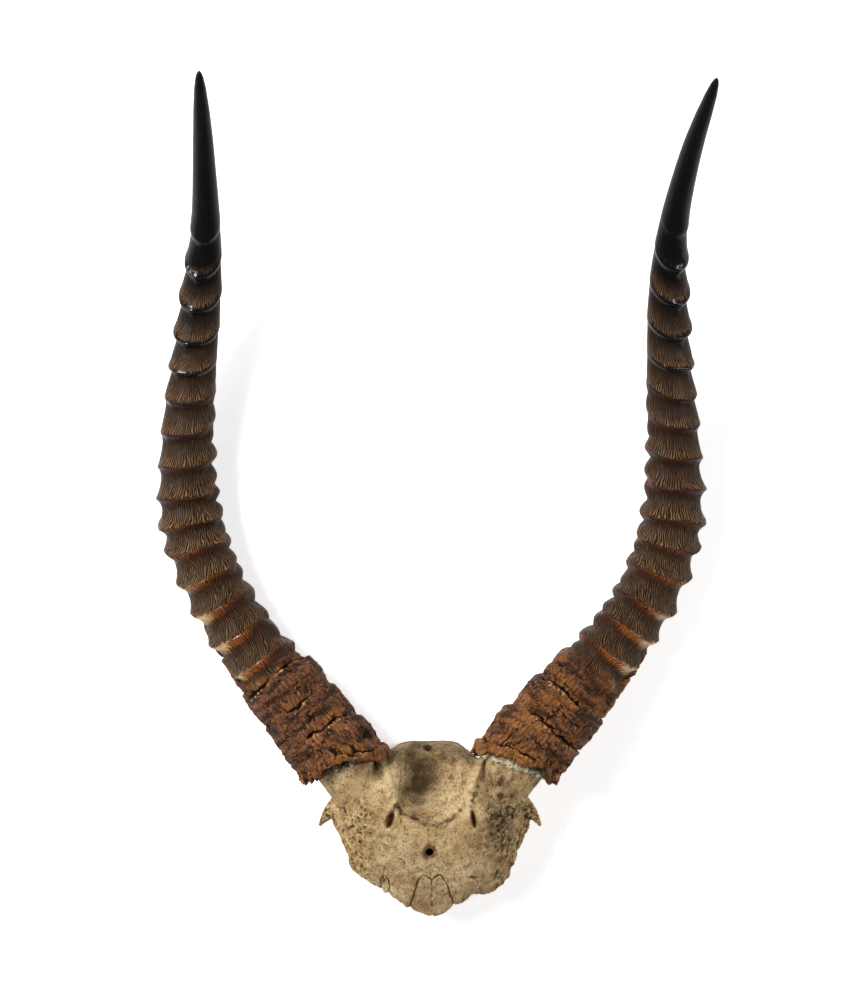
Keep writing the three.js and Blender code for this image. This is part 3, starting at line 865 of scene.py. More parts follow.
def beds(x, y):
    """Depth of the beds that hold the small bones."""
    depth = np.zeros(np.shape(x))
    for points in (*NASALS.values(), CHIP):
        outline = closed_curve(points, BED_SAMPLES)
        close = np.hypot(x - outline[:, 0].mean(), y - outline[:, 1].mean()) < 16
        share = np.zeros(np.shape(x))
        share[close] = inside_outline(x[close], y[close], outline, BED_GAP)
        depth = np.maximum(depth, BED_DEPTH * share)
    return depth


def cavity_roof(x, y, centre, size):
    """Height of the upper half of an ellipsoid, or nothing outside it."""
    inside = 1 - ((x - centre[0]) / size[0]) ** 2 - ((y - centre[1]) / size[1]) ** 2
    return np.where(inside > 0, centre[2] + size[2] * np.sqrt(np.clip(inside, 0, 1)), 0)


def plate_under(x, y):
    """Height of the underside: the flat sawn face, lifted towards the nose, with the hollows of the
    braincase, the nose and both eyes let into it."""
    under = np.maximum(UNDERCUT_SLOPE * (UNDERCUT_Y - y), 0)
    under = np.maximum(under, cavity_roof(x, y, *BRAIN_CAVITY))
    under = np.maximum(under, cavity_roof(x, y, *NASAL_CAVITY))
    orbit_y, orbit_z = ORBIT[0]
    for side in (-1, 1):
        centre = (MIDLINE + side * ORBIT_OFFSET, orbit_y, orbit_z)
        under = np.maximum(under, cavity_roof(x, y, centre, ORBIT[1]))
    return under


def plate_blank():
    """The plate as rows round its centre: the upper surface out to the edge, the edge down, and the
    underside back in to the centre."""
    bearing = ring_angles(PLATE_AROUND)[None, :]
    reach = edge_reach(bearing)

    def row_places(shares):
        out = shares[:, None] * reach
        return PLATE_CENTRE[0] + out * np.cos(bearing), PLATE_CENTRE[1] + out * np.sin(bearing)

    x, y = row_places(np.linspace(POLE, 1, PLATE_TOP_ROWS) ** 0.85)
    top = plate_top(x, y) + plate_detail(x, y) - beds(x, y)
    under_x, under_y = row_places(np.linspace(1, POLE, PLATE_UNDER_ROWS))
    lowest_top = plate_top(under_x, under_y) - beds(under_x, under_y)
    under = np.minimum(plate_under(under_x, under_y), lowest_top - LEAST_THICKNESS)
    drop = np.linspace(0, 1, PLATE_WALL_ROWS + 2)[1:-1, None]
    wall = blend(top[-1:], under[:1], drop)
    bulge = 1 + 0.006 * np.sin(drop * math.pi)
    wall_x = PLATE_CENTRE[0] + bulge * reach * np.cos(bearing)
    wall_y = PLATE_CENTRE[1] + bulge * reach * np.sin(bearing)
    return ball(
        np.vstack([
            np.stack([x, y, top], axis=-1),
            np.stack([wall_x, wall_y, wall], axis=-1),
            np.stack([under_x, under_y, under], axis=-1),
        ])
    )


def core_shell(horn):
    """Bony core: a tube of the core's radius round the horn's middle line, with a lumpy surface."""
    u = np.linspace(-34, CORE_SHOWN, 90)[:, None]
    angle = ring_angles(96)[None, :]
    u, angle = np.broadcast_arrays(u, angle)
    closing = np.sqrt(np.clip((u + 36) / 8, 0.05, 1))
    lumps = 0.4 * rough(on_tube(15, angle, u), 12, horn.seed + 50, 3)
    radius = read(CORE, u) * closing + lumps * ease(np.abs(u), 0, 6)
    return ball(carry(horn, u, angle, radius))


def hook_shell(side):
    """Broken stump of the bar behind the eye: a tapering spike along a bent line."""
    points = np.array([(MIDLINE - side * a, y, z) for a, y, z in HOOK])
    t = np.linspace(0, 1, 24)[:, None, None]
    centre = points[0] * (1 - t) ** 2 + points[1] * 2 * t * (1 - t) + points[2] * t**2
    along = unit((points[1] - points[0]) * (1 - t) + (points[2] - points[1]) * t)
    across = unit(np.cross(np.array([0, 0, 1.0]), along))
    up = np.cross(along, across)
    angle = ring_angles(40)[None, :, None]
    radius = blend(HOOK_RADIUS[0], HOOK_RADIUS[1], t**0.75)
    return ball(centre + radius * np.cos(angle) * across + radius * 0.7 * np.sin(angle) * up)


def saddle_shell(side):
    """Bone that fills the corner between the braincase and a horn's root: an ellipsoid."""
    (offset, middle_y, middle_z), (width, length, height) = SADDLE
    tilt = np.linspace(-1.45, 1.45, 30)[:, None]
    turn = ring_angles(48)[None, :]
    x = MIDLINE - side * (offset + width * np.cos(tilt) * np.cos(turn))
    y = middle_y + length * np.cos(tilt) * np.sin(turn)
    z = middle_z + height * np.sin(tilt) + 0 * turn
    return ball(np.stack([x, y, z], axis=-1))


def soften_roots(points, edges):
    """Points moved again and again towards the mean of their neighbours round the roots of the
    horns, so that the bone flows from one shape into the next."""
    a = np.abs(points[:, 0] - MIDLINE)
    share = spot(a, points[:, 1], (33, -153), (9, 13)) * ease(points[:, 2], 12, 24)
    share = (0.9 * ease(share, 0.1, 0.6))[:, None]
    ends = np.concatenate([edges[:, 0], edges[:, 1]])
    others = np.concatenate([edges[:, 1], edges[:, 0]])
    count = np.bincount(ends, minlength=len(points))[:, None]
    for _ in range(ROOT_ROUNDS):
        totals = [np.bincount(ends, points[others, axis], len(points)) for axis in range(3)]
        points = points + share * (np.stack(totals, axis=1) / count - points)
    return points


def cut_hole(plate, name, place, length, tilt):
    """Drills a screw hole into the plate."""
    bpy.ops.mesh.primitive_cylinder_add(
        vertices=32, radius=SCREW_RADIUS * MM, depth=length * MM,
        location=[value * MM for value in place], rotation=(tilt, 0, 0),
    )
    drill = bpy.context.active_object
    cut = plate.modifiers.new(name, "BOOLEAN")
    cut.operation = "DIFFERENCE"
    cut.solver = "EXACT"
    cut.object = drill
    return drill


def evaluated_mesh(piece, name):
    """The mesh that an object's modifiers leave, as a mesh of its own."""
    bpy.context.view_layer.update()
    shaped = piece.evaluated_get(bpy.context.evaluated_depsgraph_get())
    mesh = bpy.data.meshes.new_from_object(shaped)
    mesh.name = name
    return mesh


def fused_plate():
    """The plate, cores and hooks melted into one skin by a voxel remesh, then drilled and thinned
    where it is nearly flat."""
    shell = plate_blank()
    for horn in HORNS:
        for lump in (core_shell(horn), hook_shell(horn.side), saddle_shell(horn.side)):
            shell = shell.joined(lump)
    rough_plate = bpy.data.objects.new("rough_plate", shell.mesh("rough_plate"))
    bpy.context.scene.collection.objects.link(rough_plate)
    melt = rough_plate.modifiers.new("Melt", "REMESH")
    melt.mode = "VOXEL"
    melt.voxel_size = VOXEL * MM
    drill_height, drill_length = FOREHEAD_DRILL
    drills = [
        cut_hole(rough_plate, "Forehead Screw", (*FOREHEAD_SCREW, drill_height), drill_length, 0),
        cut_hole(
            rough_plate, "Rear Screw", REAR_SCREW, REAR_DRILL_LENGTH, REAR_SCREW_TILT - math.pi / 2
        ),
    ]
    thinned = rough_plate.modifiers.new("Merge Flat Faces", "DECIMATE")
    thinned.ratio = KEPT_FACES
    mesh = evaluated_mesh(rough_plate, "skull_plate")
    for helper in (rough_plate, *drills):
        bpy.data.objects.remove(helper)
    return mesh


def bone_marks(points):
    """Two vectors per point for the finish: how dark the bone is with stains and painted shade, how
    bare and how warm it is; and how rusty, how cracked and how far inside it is, with painted shade
    in the rear screw hole and in the slots of the foramina. Also how porous it is."""
    x, y, z = points.T
    a = np.abs(x - MIDLINE)
    flat = flat_place(x, y)
    patchy = 0.5 + 0.5 * rough(points, 7, 101, 3)
    ragged = 3 * noise(flat, 11, 107)
    # The hollow between the horns is darker, most on its left slope: partly olive-brown patina, partly
    # painted shade where that slope is turned from the light.
    hollow = spot(x + ragged, y - ragged, (-8.5, -148.5), (10.5, 15)) * (0.75 + 0.2 * patchy)
    bowl = spot(x, y, (MIDLINE, -146), (19, 17), 4) * (0.1 + 0.2 * patchy)
    # The crown of the braincase is darker too.
    crown = ease(y, -144, -130) * (1 - ease(a, 26, 34)) * (0.36 + 0.24 * patchy)
    spotty = 0.5 + 0.5 * rough(points, 3.5, 106, 3)
    pedicle = spot(a, y, (38, -150), (10, 14)) * ease(spotty, 0.4, 0.9)
    pedicle = pedicle * np.where(x > MIDLINE, 0.3, 0.15)
    right_brown = spot(x, y, (35, -160), (12, 32)) * (0.35 + 0.5 * spotty)
    left_brown = spot(x, y, (-36, -176), (10, 16)) * (0.1 + 0.3 * patchy)
    suture, _ = line_distance(x, y, CORONAL_SUTURE)
    seam = hump(suture, 2.4) * 0.5 * ease(noise(points, 3, 102), -0.4, 0.3)
    bare = np.zeros_like(x)
    for ridge in TEMPORAL_RIDGES:
        d, _ = line_distance(x, y, ridge)
        bare = np.maximum(bare, hump(d, 3))
    bare = np.maximum(bare, 0.5 * spot(x, y, (-37, -152), (8, 10)))
    stain_and_shade = hollow + bowl + crown + pedicle + right_brown + left_brown + seam
    stain_and_shade = np.clip(stain_and_shade * (1 - 0.85 * bare), 0, 1)

    side_edge = ease(a, 22, 37) * (1 - ease(y, -162, -152))
    porous = side_edge * ease(noise(points, 7, 103) + 0.5 * (x < 0), -0.7, 0.1)
    warm = 1.2 * spot(x, y, (-39, -177), (9, 14)) + 0.4 * side_edge
    forehead_screw = np.hypot(x - FOREHEAD_SCREW[0], y - FOREHEAD_SCREW[1])
    rear_screw = np.linalg.norm(points - np.array(REAR_SCREW) - np.array([0, 3, 4]), axis=1)
    rust_and_slot_shade = 1 - ease(forehead_screw + 1.1 * noise(flat, 1.8, 104), 3.0, 4.8)
    rust_and_slot_shade = np.maximum(rust_and_slot_shade, 0.6 * (1 - ease(rear_screw, 3, 6)))
    # The slots of the foramina get the rusty brown as painted shade inside them.
    for cx, cy, _, half_length, _ in FORAMINA:
        away = np.hypot((x - cx) * 1.8, y - cy)
        rust_and_slot_shade = np.maximum(rust_and_slot_shade, 0.45 * (1 - ease(away, half_length * 0.6, half_length)))
    # Painted shade in the rear screw hole.
    crack = 1 - ease(np.hypot(x - REAR_SCREW[0], (y - REAR_SCREW[1]) * 1.2), 1.6, 2.6)
    broken = ease(noise(flat, 3, 105), -0.45, 0.0)
    for route in (*CRACKS, CORONAL_SUTURE, FRONTAL_SUTURE):
        d, _ = line_distance(x, y, route)
        crack = np.maximum(crack, 0.85 * hump(d + 1.3 * noise(flat, 2.1, 90), 0.55) * broken)
    for outline in NASALS.values():
        d, _ = line_distance(x, y, closed_curve(outline, BED_SAMPLES))
        worn = ease(noise(flat, 4, 109), -0.4, 0.3)
        crack = np.maximum(crack, 0.7 * hump(d + 0.4 * noise(flat, 1.6, 108), 0.5) * worn)
    crack = np.maximum(crack * ease(z, 10, 20), 0.9 * pores(points) * porous)
    inside = np.clip((plate_top(x, y) - z - 6) / 6, 0, 1) * (a < 60)
    marks = np.stack([stain_and_shade, bare, np.clip(warm, 0, 1)], axis=-1)
    wear_and_shade = np.stack([rust_and_slot_shade, crack, inside], axis=-1)
    return marks, wear_and_shade, porous


def pores(points):
    """Share from 0 to 1 of the open pores of spongy bone: round pits in two sizes and furrows that
    join them."""
    wandering = points + 0.7 * noise(points, 2.5, 114)[:, None]
    large = ease(0.36 - nearest(wandering, 3.3, 112), 0, 0.14)
    small = ease(0.34 - nearest(wandering, 1.9, 115), 0, 0.14)
    furrows = hump(noise(wandering * np.array([1, 0.6, 1]), 2.4, 113), 0.12)
    return np.clip(large + 0.7 * small + 0.6 * furrows, 0, 1)


def bone_grain(points, normals, porous):
    """Fine relief of bone along its normals: the crests of the temporal lines, soft lumps, shallow
    pocks, the broken coronal suture, and deep pores where it is porous."""
    x, y, z = points.T
    crests = np.zeros(len(points))
    for ridge in TEMPORAL_RIDGES:
        d, share = line_distance(x, y, ridge)
        crest = hump(d, 2) * ease(share, 0, 0.12) * (1 - ease(share, 0.85, 1)) * ease(z, 20, 26)
        crests = np.maximum(crests, crest)
    flat = flat_place(x, y)
    d, _ = line_distance(x, y, CORONAL_SUTURE)
    seam = hump(d + 1.3 * noise(flat, 2.1, 90), 0.7) * ease(noise(flat, 3, 105), -0.45, 0)
    lumps = 0.2 * rough(points, 6, 110, 3) + 0.12 * noise(points, 1.5, 116)
    pocks = 0.25 * ease(0.3 - nearest(points, 4.5, 111), 0, 0.14)
    holes = pocks + 0.9 * seam * ease(z, 20, 26) + 0.95 * pores(points) * porous
    return points + normals * (2.6 * crests + lumps - holes)[:, None]


def read_points(mesh, what, key):
    """A list of vectors that a mesh holds, as an array."""
    values = np.zeros(len(mesh.vertices) * 3, np.float32)
    getattr(mesh, what).foreach_get(key, values)
    return values.reshape(-1, 3).astype(float)


def roughen(mesh):
    """Adds the grain to a fused bone mesh and gives it its marks."""
    points = read_points(mesh, "vertices", "co") / MM
    edges = np.zeros(len(mesh.edges) * 2, np.int32)
    mesh.edges.foreach_get("vertices", edges)
    points = soften_roots(points, edges.reshape(-1, 2))
    mesh.vertices.foreach_set("co", (points * MM).ravel().astype(np.float32))
    mesh.update()
    normals = read_points(mesh, "vertex_normals", "vector")
    marks, wear_and_shade, porous = bone_marks(points)
    points = bone_grain(points, normals, porous)
    points[:, 2] = np.maximum(points[:, 2], FLOOR_CLEARANCE)
    mesh.vertices.foreach_set("co", (points * MM).ravel().astype(np.float32))
    finish_mesh(mesh, {"marks": marks, "wear_and_shade": wear_and_shade})


# ---------------------------------------------------------------- small bones and dried tissue


def inlay_shell(points, sink, thickness, seed):
    """A small bone let into the plate: rows from its middle out over its upper face, down its edge
    and back under. Both faces follow the plate's upper surface, and the corners are rounded."""
    outline = closed_curve(points, INLAY_AROUND)
    centre = outline.mean(0)
    top_share = np.linspace(0.03, 1, INLAY_FACE_ROWS)
    share = np.concatenate([top_share, np.ones(INLAY_EDGE_ROWS), top_share[::-1]])[:, None, None]
    place = centre + share * (outline - centre)
    x, y = place[..., 0], place[..., 1]
    surface = plate_top(x, y) + 0.6 * plate_detail(x, y)
    rim = ease(share[..., 0], 0.86, 1)
    down = np.linspace(0.1, 0.9, INLAY_EDGE_ROWS)
    level = np.concatenate([np.zeros(INLAY_FACE_ROWS), down, np.ones(INLAY_FACE_ROWS)])[:, None]
    flat = flat_place(x, y)
    ripple = 0.16 * rough(flat, 4, seed, 3) - 0.3 * rim**2
    z = surface + blend(-sink + ripple, -thickness + 0.25 * rim, level)
    shell = ball(np.stack([x, y, z], axis=-1))
    marks, wear_and_shade, _ = bone_marks(shell.points)
    wear_and_shade[:, 2] = 0
    shell.values = {"marks": marks, "wear_and_shade": wear_and_shade}
    return shell


def tissue_shell(horn):
    """Collar of dried tissue and crust in a sheath's mouth: a bent, lumpy ring whose thickness
    changes from flake to flake."""
    turn = ring_angles(220)[:, None]
    section = ring_angles(26)[None, :]
    turn, section = np.broadcast_arrays(turn, section)
    circle = on_tube(17, turn, 0.0)
    rim = horn.rim_skew * np.cos(turn)
    lump = 0.5 + 0.5 * noise(circle, 3.1, horn.seed + 90)
    fine = on_tube(17, turn, section * 1.3)
    grit = 0.5 * noise(fine, 1.3, horn.seed + 91) + 0.35 * noise(fine, 0.8, horn.seed + 92)
    lump = ease(lump, 0.3, 0.8)
    half_width = 0.3 + 0.9 * lump + 1.4 * grit
    half_length = 0.6 + 2.0 * lump + 2.0 * grit
    u = rim * 0.55 + 0.2 + half_length * np.sin(section)
    radius = read(CORE, u) + 1.2 + half_width * (0.75 + np.cos(section)) * 0.8
    points = carry(horn, u, turn, radius)
    pale = 0.5 + 0.5 * noise(circle, 4.5, horn.seed + 93)
    crust = np.stack([pale, lump, np.full_like(pale, 1.0 if horn is RIGHT else 0.0)], axis=-1)
    return ring(points, crust=crust)


# ---------------------------------------------------------------- finishes


def linear(colour):
    """A colour given as screen values of 0 to 255, as Blender's scene values."""
    share = np.array(colour, float) / 255
    return tuple(np.where(share <= 0.04045, share / 12.92, ((share + 0.055) / 1.055) ** 2.4)) + (1.0,)


class Wire:
    """A node's output, so that shader maths reads as arithmetic."""

    def __init__(self, finish, socket):
        self.finish = finish
        self.socket = socket

    def __add__(self, other):
        return self.finish.maths("ADD", self, other)

    def __radd__(self, other):
        return self.finish.maths("ADD", other, self)

    def __sub__(self, other):
        return self.finish.maths("SUBTRACT", self, other)

    def __rsub__(self, other):
        return self.finish.maths("SUBTRACT", other, self)

    def __mul__(self, other):
        return self.finish.maths("MULTIPLY", self, other)

    def __rmul__(self, other):
        return self.finish.maths("MULTIPLY", other, self)


class Finish:
    """A material and the means to add nodes to it."""

    def __init__(self, name):
        self.material = bpy.data.materials.new(name)
        self.material.use_nodes = True
        self.tree = self.material.node_tree
        self.shader = self.tree.nodes["Principled BSDF"]

    def node(self, kind, settings=None, inputs=None, output=0):
        """Adds a node: its settings first, then the values or links of its sockets."""
        made = self.tree.nodes.new(kind)
        for key, value in (settings or {}).items():
            setattr(made, key, value)
        for key, value in (inputs or {}).items():
            self.feed(made.inputs[key], value)
        return Wire(self, made.outputs[output])

    def feed(self, socket, value):
        """Links a socket to a node's output, or sets it to a plain value."""
        if isinstance(value, Wire):
            self.tree.links.new(value.socket, socket)
        else:
            socket.default_value = value

    def maths(self, operation, *values):
        return self.node("ShaderNodeMath", {"operation": operation}, dict(enumerate(values)))

    def attribute(self, name):
        """The three parts of a vector that the mesh carries, and the vector itself."""
        return self.parts(self.node("ShaderNodeAttribute", {"attribute_name": name}, output="Vector"))

    def parts(self, vector):
        """The three parts of a vector, and the vector itself."""
        split = self.tree.nodes.new("ShaderNodeSeparateXYZ")
        self.feed(split.inputs[0], vector)
        return [Wire(self, split.outputs[axis]) for axis in range(3)] + [vector]

    def place(self):
        """The point's place on the object, in metres."""
        return self.node("ShaderNodeTexCoord", output="Object")

    def stretched(self, vector, scale):
        return self.node("ShaderNodeVectorMath", {"operation": "MULTIPLY"}, {0: vector, 1: scale})

    def cloud(self, vector, scale, detail=3.0, roughness=0.55, distortion=0.0):
        """Noise from 0 to 1."""
        inputs = {
            "Vector": vector, "Scale": scale, "Detail": detail, "Roughness": roughness,
            "Distortion": distortion,
        }
        return self.node("ShaderNodeTexNoise", {}, inputs, "Fac")

    def cells(self, vector, scale, feature="F1"):
        """Distance to the nearest of scattered points, or to the nearest cell edge."""
        inputs = {"Vector": vector, "Scale": scale}
        return self.node("ShaderNodeTexVoronoi", {"feature": feature}, inputs, "Distance")

    def step(self, value, low, high):
        """Smooth step from 0 at low to 1 at high."""
        inputs = {0: value, 1: low, 2: high, 3: 0.0, 4: 1.0}
        return self.node("ShaderNodeMapRange", {"interpolation_type": "SMOOTHSTEP"}, inputs)

    def mix(self, share, first, second):
        """A colour between two colours."""
        settings = {"data_type": "RGBA", "clamp_factor": True}
        return self.node("ShaderNodeMix", settings, {0: share, 6: first, 7: second}, 2)

    def layers(self, colour, settings, rows):
        """A colour with others laid over it in turn, each given by its share and its name."""
        for share, name in rows:
            colour = self.mix(share, colour, settings[name])
        return colour

    def bump(self, height, distance):
        inputs = {"Height": height, "Distance": distance, "Strength": 1.0}
        return self.node("ShaderNodeBump", {}, inputs)

    def set(self, **sockets):
        """Feeds the shader's sockets, each named with underscores for spaces."""
        for name, value in sockets.items():
            self.feed(self.shader.inputs[name.replace("_", " ")], value)
        return self.material


def horn_finish(settings):
    """Keratin: pale strands on dark brown, smooth lips that run from cream through orange to black,
    rough reddish bark at the base with painted shade in its cracks, ledges and dips and paler flecks
    on its ledge edges as a painted highlight, and a black polished tip."""
    finish = Finish("Horn")
    across, sideways, _, strand = finish.attribute("strand")
    smooth, orange, cream, _ = finish.attribute("lip")
    black, bark, bright, _ = finish.attribute("coat")

    turn = finish.maths("ARCTAN2", sideways, across)
    along = finish.stretched(strand, (1.0, 1.0, 0.5))
    sway = finish.cloud(along, 0.16, 2.0, 0.5) * 22 + finish.cloud(along, 0.55, 2.0, 0.5) * 7
    waves = finish.maths("SINE", turn * STRANDS + sway)
    hairs = finish.cloud(finish.stretched(strand, (1.0, 1.0, 0.12)), 2.0, 2.0, 0.6)
    lines = finish.step(waves * 0.42 + hairs * 1.2, 0.5, 1.08)
    patches = finish.cloud(strand, 0.16, 3.0)
    glow = bright * (0.2 + 1.05 * patches)
    fibre = finish.mix(lines * glow, settings["dark"], settings["strand"])
    # The strands darken towards the painted shade colour where they are less bright.
    fibre = finish.mix((1 - bright) * 0.4, fibre, settings["shade"])

    streaks = finish.step(hairs + waves * 0.16, 0.34, 0.6)
    glowing = finish.step(orange - (1 - streaks) * 0.35, 0.0, 0.6)
    creamy = finish.step(cream - (1 - streaks) * 0.4, 0.12, 0.6)
    lip = finish.mix(glowing, settings["umber"], settings["amber"])
    lip = finish.mix(creamy, lip, settings["cream"])
    colour = finish.mix(smooth * (0.55 + 0.45 * streaks), fibre, lip)

    place = finish.stretched(strand, (1.0, 1.0, 0.7))
    blotch = finish.cloud(place, 0.2, 5.0, 0.65)
    grit = finish.cloud(place, 0.9, 5.0, 0.7)
    splits = finish.cells(finish.stretched(strand, (1.0, 1.0, 0.3)), 0.42, "DISTANCE_TO_EDGE")
    splits = finish.step(splits, 0.08, 0.05) * finish.step(blotch + grit * 0.3, 0.64, 0.74)
    splits = splits * (1 - smooth * 0.7)
    grain = finish.cloud(finish.stretched(strand, (1.0, 1.0, 0.5)), 1.2, 4.0, 0.7)
    # Flecks gather where the bark is brighter, so they also stand as a painted highlight on the ledge
    # edges.
    flecks = finish.step(finish.cloud(place, 0.9, 3.0, 0.7) + 0.3 * bright, 0.79, 0.86)
    banded = finish.cloud(finish.stretched(strand, (0.35, 0.35, 1.0)), 0.22, 4.0, 0.6, 0.6)
    golden = finish.step(banded, 0.54, 0.66) * finish.step(grain, 0.4, 0.6)
    crusty = finish.mix(finish.step(blotch, 0.4, 0.6), settings["bark"], settings["russet"])
    crusty = finish.layers(crusty, settings, [
        (finish.step(grain, 0.48, 0.64) * 0.55, "tan"),
        (smooth * finish.step(blotch, 0.64, 0.4) * 0.85, "dark"),
        (orange * finish.step(grit, 0.35, 0.62) * 0.8, "honey"),
        (flecks * 0.85, "fleck"),
        # Painted shade in the low places of the grit's bump.
        (finish.step(grit, 0.44, 0.34) * 0.6, "shade"),
        (golden * 0.3, "honey"),
        (finish.step(banded, 0.5, 0.36) * 0.8, "dark"),
        # Painted shade in the ledges, cracks and pits, and over the socket walls.
        (finish.step(bright, 0.44, 0.12) * 0.97, "shade"),
        # Painted shade in the splits of the bark.
        (splits * 0.9, "shade"),
    ])
    colour = finish.mix(bark, colour, crusty)
    colour = finish.mix(black, colour, settings["black"])

    strands_height = lines * (1 - black * 0.85) * (1 - smooth * 0.5) * (1 - bark)
    bark_height = (0.8 * grit + 0.4 * grain + 0.6 * blotch - splits * 0.6) * (1 - smooth * 0.5) * bark
    normal = finish.bump(strands_height * 0.3 + bark_height * 1.5, MM)
    polish = 0.4 - (0.14 * smooth + 0.1 * black) * (1 - bark)
    roughness = polish + bark * (0.3 * grit - 0.1 * orange)
    varnish = smooth * (0.04 + 0.8 * finish.step(orange, 0.42, 0.72) + 0.3 * black)
    varnish = (varnish + 0.12 * black) * (1 - bark)
    return finish.set(
        Base_Color=colour, Roughness=roughness, Normal=normal, IOR=1.13,
        Coat_Weight=varnish, Coat_Roughness=0.1,
    )


def bone_finish(settings):
    """Weathered bone: cream mottled with tan, olive-brown in the hollow with painted shade on its left
    slope, porous and yellower on the side edges, rusty round the screw holes, with painted shade in
    the rear screw hole and in the slots of the foramina."""
    finish = Finish("Bone")
    stain_and_shade, bare, warm, _ = finish.attribute("marks")
    rust_and_slot_shade, crack, inside, _ = finish.attribute("wear_and_shade")
    place = finish.place()
    cloudy = finish.cloud(place, 60, 5.0, 0.65)
    mottle = finish.cloud(place, 260, 5.0, 0.7)
    fine = finish.cloud(place, 1000, 4.0, 0.8)
    streak = finish.cloud(finish.stretched(place, (1.6, 0.7, 1.0)), 420, 4.0, 0.75, 0.6)

    colour = finish.mix(finish.step(cloudy, 0.36, 0.64), settings["bone"], settings["cream"])
    stained_and_shaded = stain_and_shade * (0.45 + 0.7 * mottle + 0.5 * fine)
    specks = finish.step(finish.cells(place, 560) + 0.3 * fine, 0.36, 0.26)
    specks = specks * finish.step(mottle, 0.45, 0.58)
    colour = finish.layers(colour, settings, [
        (finish.step(mottle, 0.48, 0.62) * 0.65, "tan"),
        (finish.step(streak, 0.53, 0.64) * 0.6, "brown"),
        (finish.step(fine, 0.54, 0.62) * 0.7, "brown"),
        (finish.step(fine, 0.46, 0.36) * 0.6, "cream"),
        (bare * finish.step(mottle, 0.66, 0.46) * 0.85, "cream"),
        (warm * finish.step(mottle, 0.35, 0.6) * 0.6, "honey"),
        # Olive-brown of the stains and the darker crown, and painted shade on the hollow's left slope.
        (finish.step(stained_and_shaded, 0.05, 1.1), "olive"),
        (specks * 0.75, "dark"),
        # Cracks and pores, and painted shade in the rear screw hole.
        (crack * (0.65 + 0.6 * fine), "dark"),
        # Rusty brown round the screw holes, and painted shade in the slots of the foramina.
        (rust_and_slot_shade * (0.5 + 0.7 * fine), "rust_and_slot_shade"),
        (inside * 0.45, "brown"),
    ])

    height = mottle * 0.5 + fine * 0.9 - specks * 0.5 - crack * 0.6
    normal = finish.bump(height, 1.3 * MM)
    roughness = 0.72 + 0.2 * fine - 0.08 * stain_and_shade
    return finish.set(Base_Color=colour, Roughness=roughness, Normal=normal, IOR=1.25)


def tissue_finish(settings):
    """Dried tissue and crust: dark residue with chalky, faintly green flakes, more of them on the
    right."""
    finish = Finish("Dried Tissue")
    pale, lump, right, _ = finish.attribute("crust")
    place = finish.place()
    flakes = finish.cloud(place, 480, 4.0, 0.7)
    grain = finish.cloud(place, 1500, 2.0)
    chalk = finish.step(flakes + 0.3 * pale + 0.18 * right, 0.62, 0.72)
    colour = finish.mix(finish.step(grain, 0.3, 0.7), settings["residue"], settings["brown"])
    green = finish.step(grain + 0.2 * lump, 0.55, 0.72) * 0.4
    colour = finish.layers(colour, settings, [(chalk, "chalk"), (green, "green")])
    normal = finish.bump(flakes * 1.6 + 0.8 * grain, MM)
    return finish.set(Base_Color=colour, Roughness=0.85, Normal=normal)


# ---------------------------------------------------------------- settings


def colour_property(name, description, screen):
    return bpy.props.FloatVectorProperty(
        name=name, description=description, default=linear(screen), size=4, min=0, max=1, subtype="COLOR"
    )


class FrontletHornSettings(bpy.types.PropertyGroup):
    dark: colour_property("Ground", "Dark brown between the strands", (39, 27, 19))
    strand: colour_property("Strands", "Pale strands of the horn", (160, 121, 84))
    umber: colour_property("Lip Shade", "Brown of a lip where it is darkest", (64, 36, 24))
    amber: colour_property("Lip Glow", "Orange-brown of the lower lips", (146, 84, 40))
    cream: colour_property("Lip Cream", "Cream of the outer end of the lower lips", (214, 172, 104))
    black: colour_property("Tip", "Black of the tip and of the upper lips", (14, 13, 13))
    bark: colour_property("Bark", "Dark brown of the rough base", (64, 42, 30))
    russet: colour_property("Russet", "Reddish brown of the rough base", (124, 78, 52))
    tan: colour_property("Bark Edges", "Pinkish tan on worn edges of the base", (160, 114, 84))
    honey: colour_property("Honey", "Amber of the hollows and the broken rim", (166, 108, 54))
    fleck: colour_property("Flecks", "Pale flecks caught in the base", (214, 172, 112))
    # Painted shade: laid into the cracks, ledges, pits and bump dips of the base and over the socket
    # walls, and mixed into the strands where they are less bright.
    shade: colour_property("Cracks", "Near-black of the cracks and folds of the base", (24, 16, 12))


class FrontletBoneSettings(bpy.types.PropertyGroup):
    bone: colour_property("Bone", "Main colour of the bone", (190, 156, 108))
    cream: colour_property("Clean Bone", "Cleanest, lightest bone", (232, 204, 154))
    tan: colour_property("Mottling", "Tan mottling", (150, 114, 74))
    brown: colour_property("Brown", "Brown streaks and inner faces", (88, 62, 38))
    honey: colour_property("Honey", "Yellow of the porous side edges", (190, 146, 84))
    # Olive-brown of the stains, which also serves as painted shade on the hollow's left slope.
    olive: colour_property("Stain", "Olive-brown stain in the hollow", (68, 50, 28))
    # Also the painted shade in the rear screw hole.
    dark: colour_property("Pores", "Dark of pores and cracks", (48, 34, 22))
    # Rusty brown round the screw holes, also the painted shade in the slots of the foramina.
    rust_and_slot_shade: colour_property("Rust", "Rusty brown round the screw holes", (96, 56, 40))


class FrontletTissueSettings(bpy.types.PropertyGroup):
    residue: colour_property("Residue", "Dark dried residue", (52, 40, 26))
    brown: colour_property("Fibre", "Brown dried fibre", (118, 90, 58))
    chalk: colour_property("Chalk", "Chalky flakes", (236, 222, 186))
    green: colour_property("Green", "Grey-green tinge", (124, 116, 84))


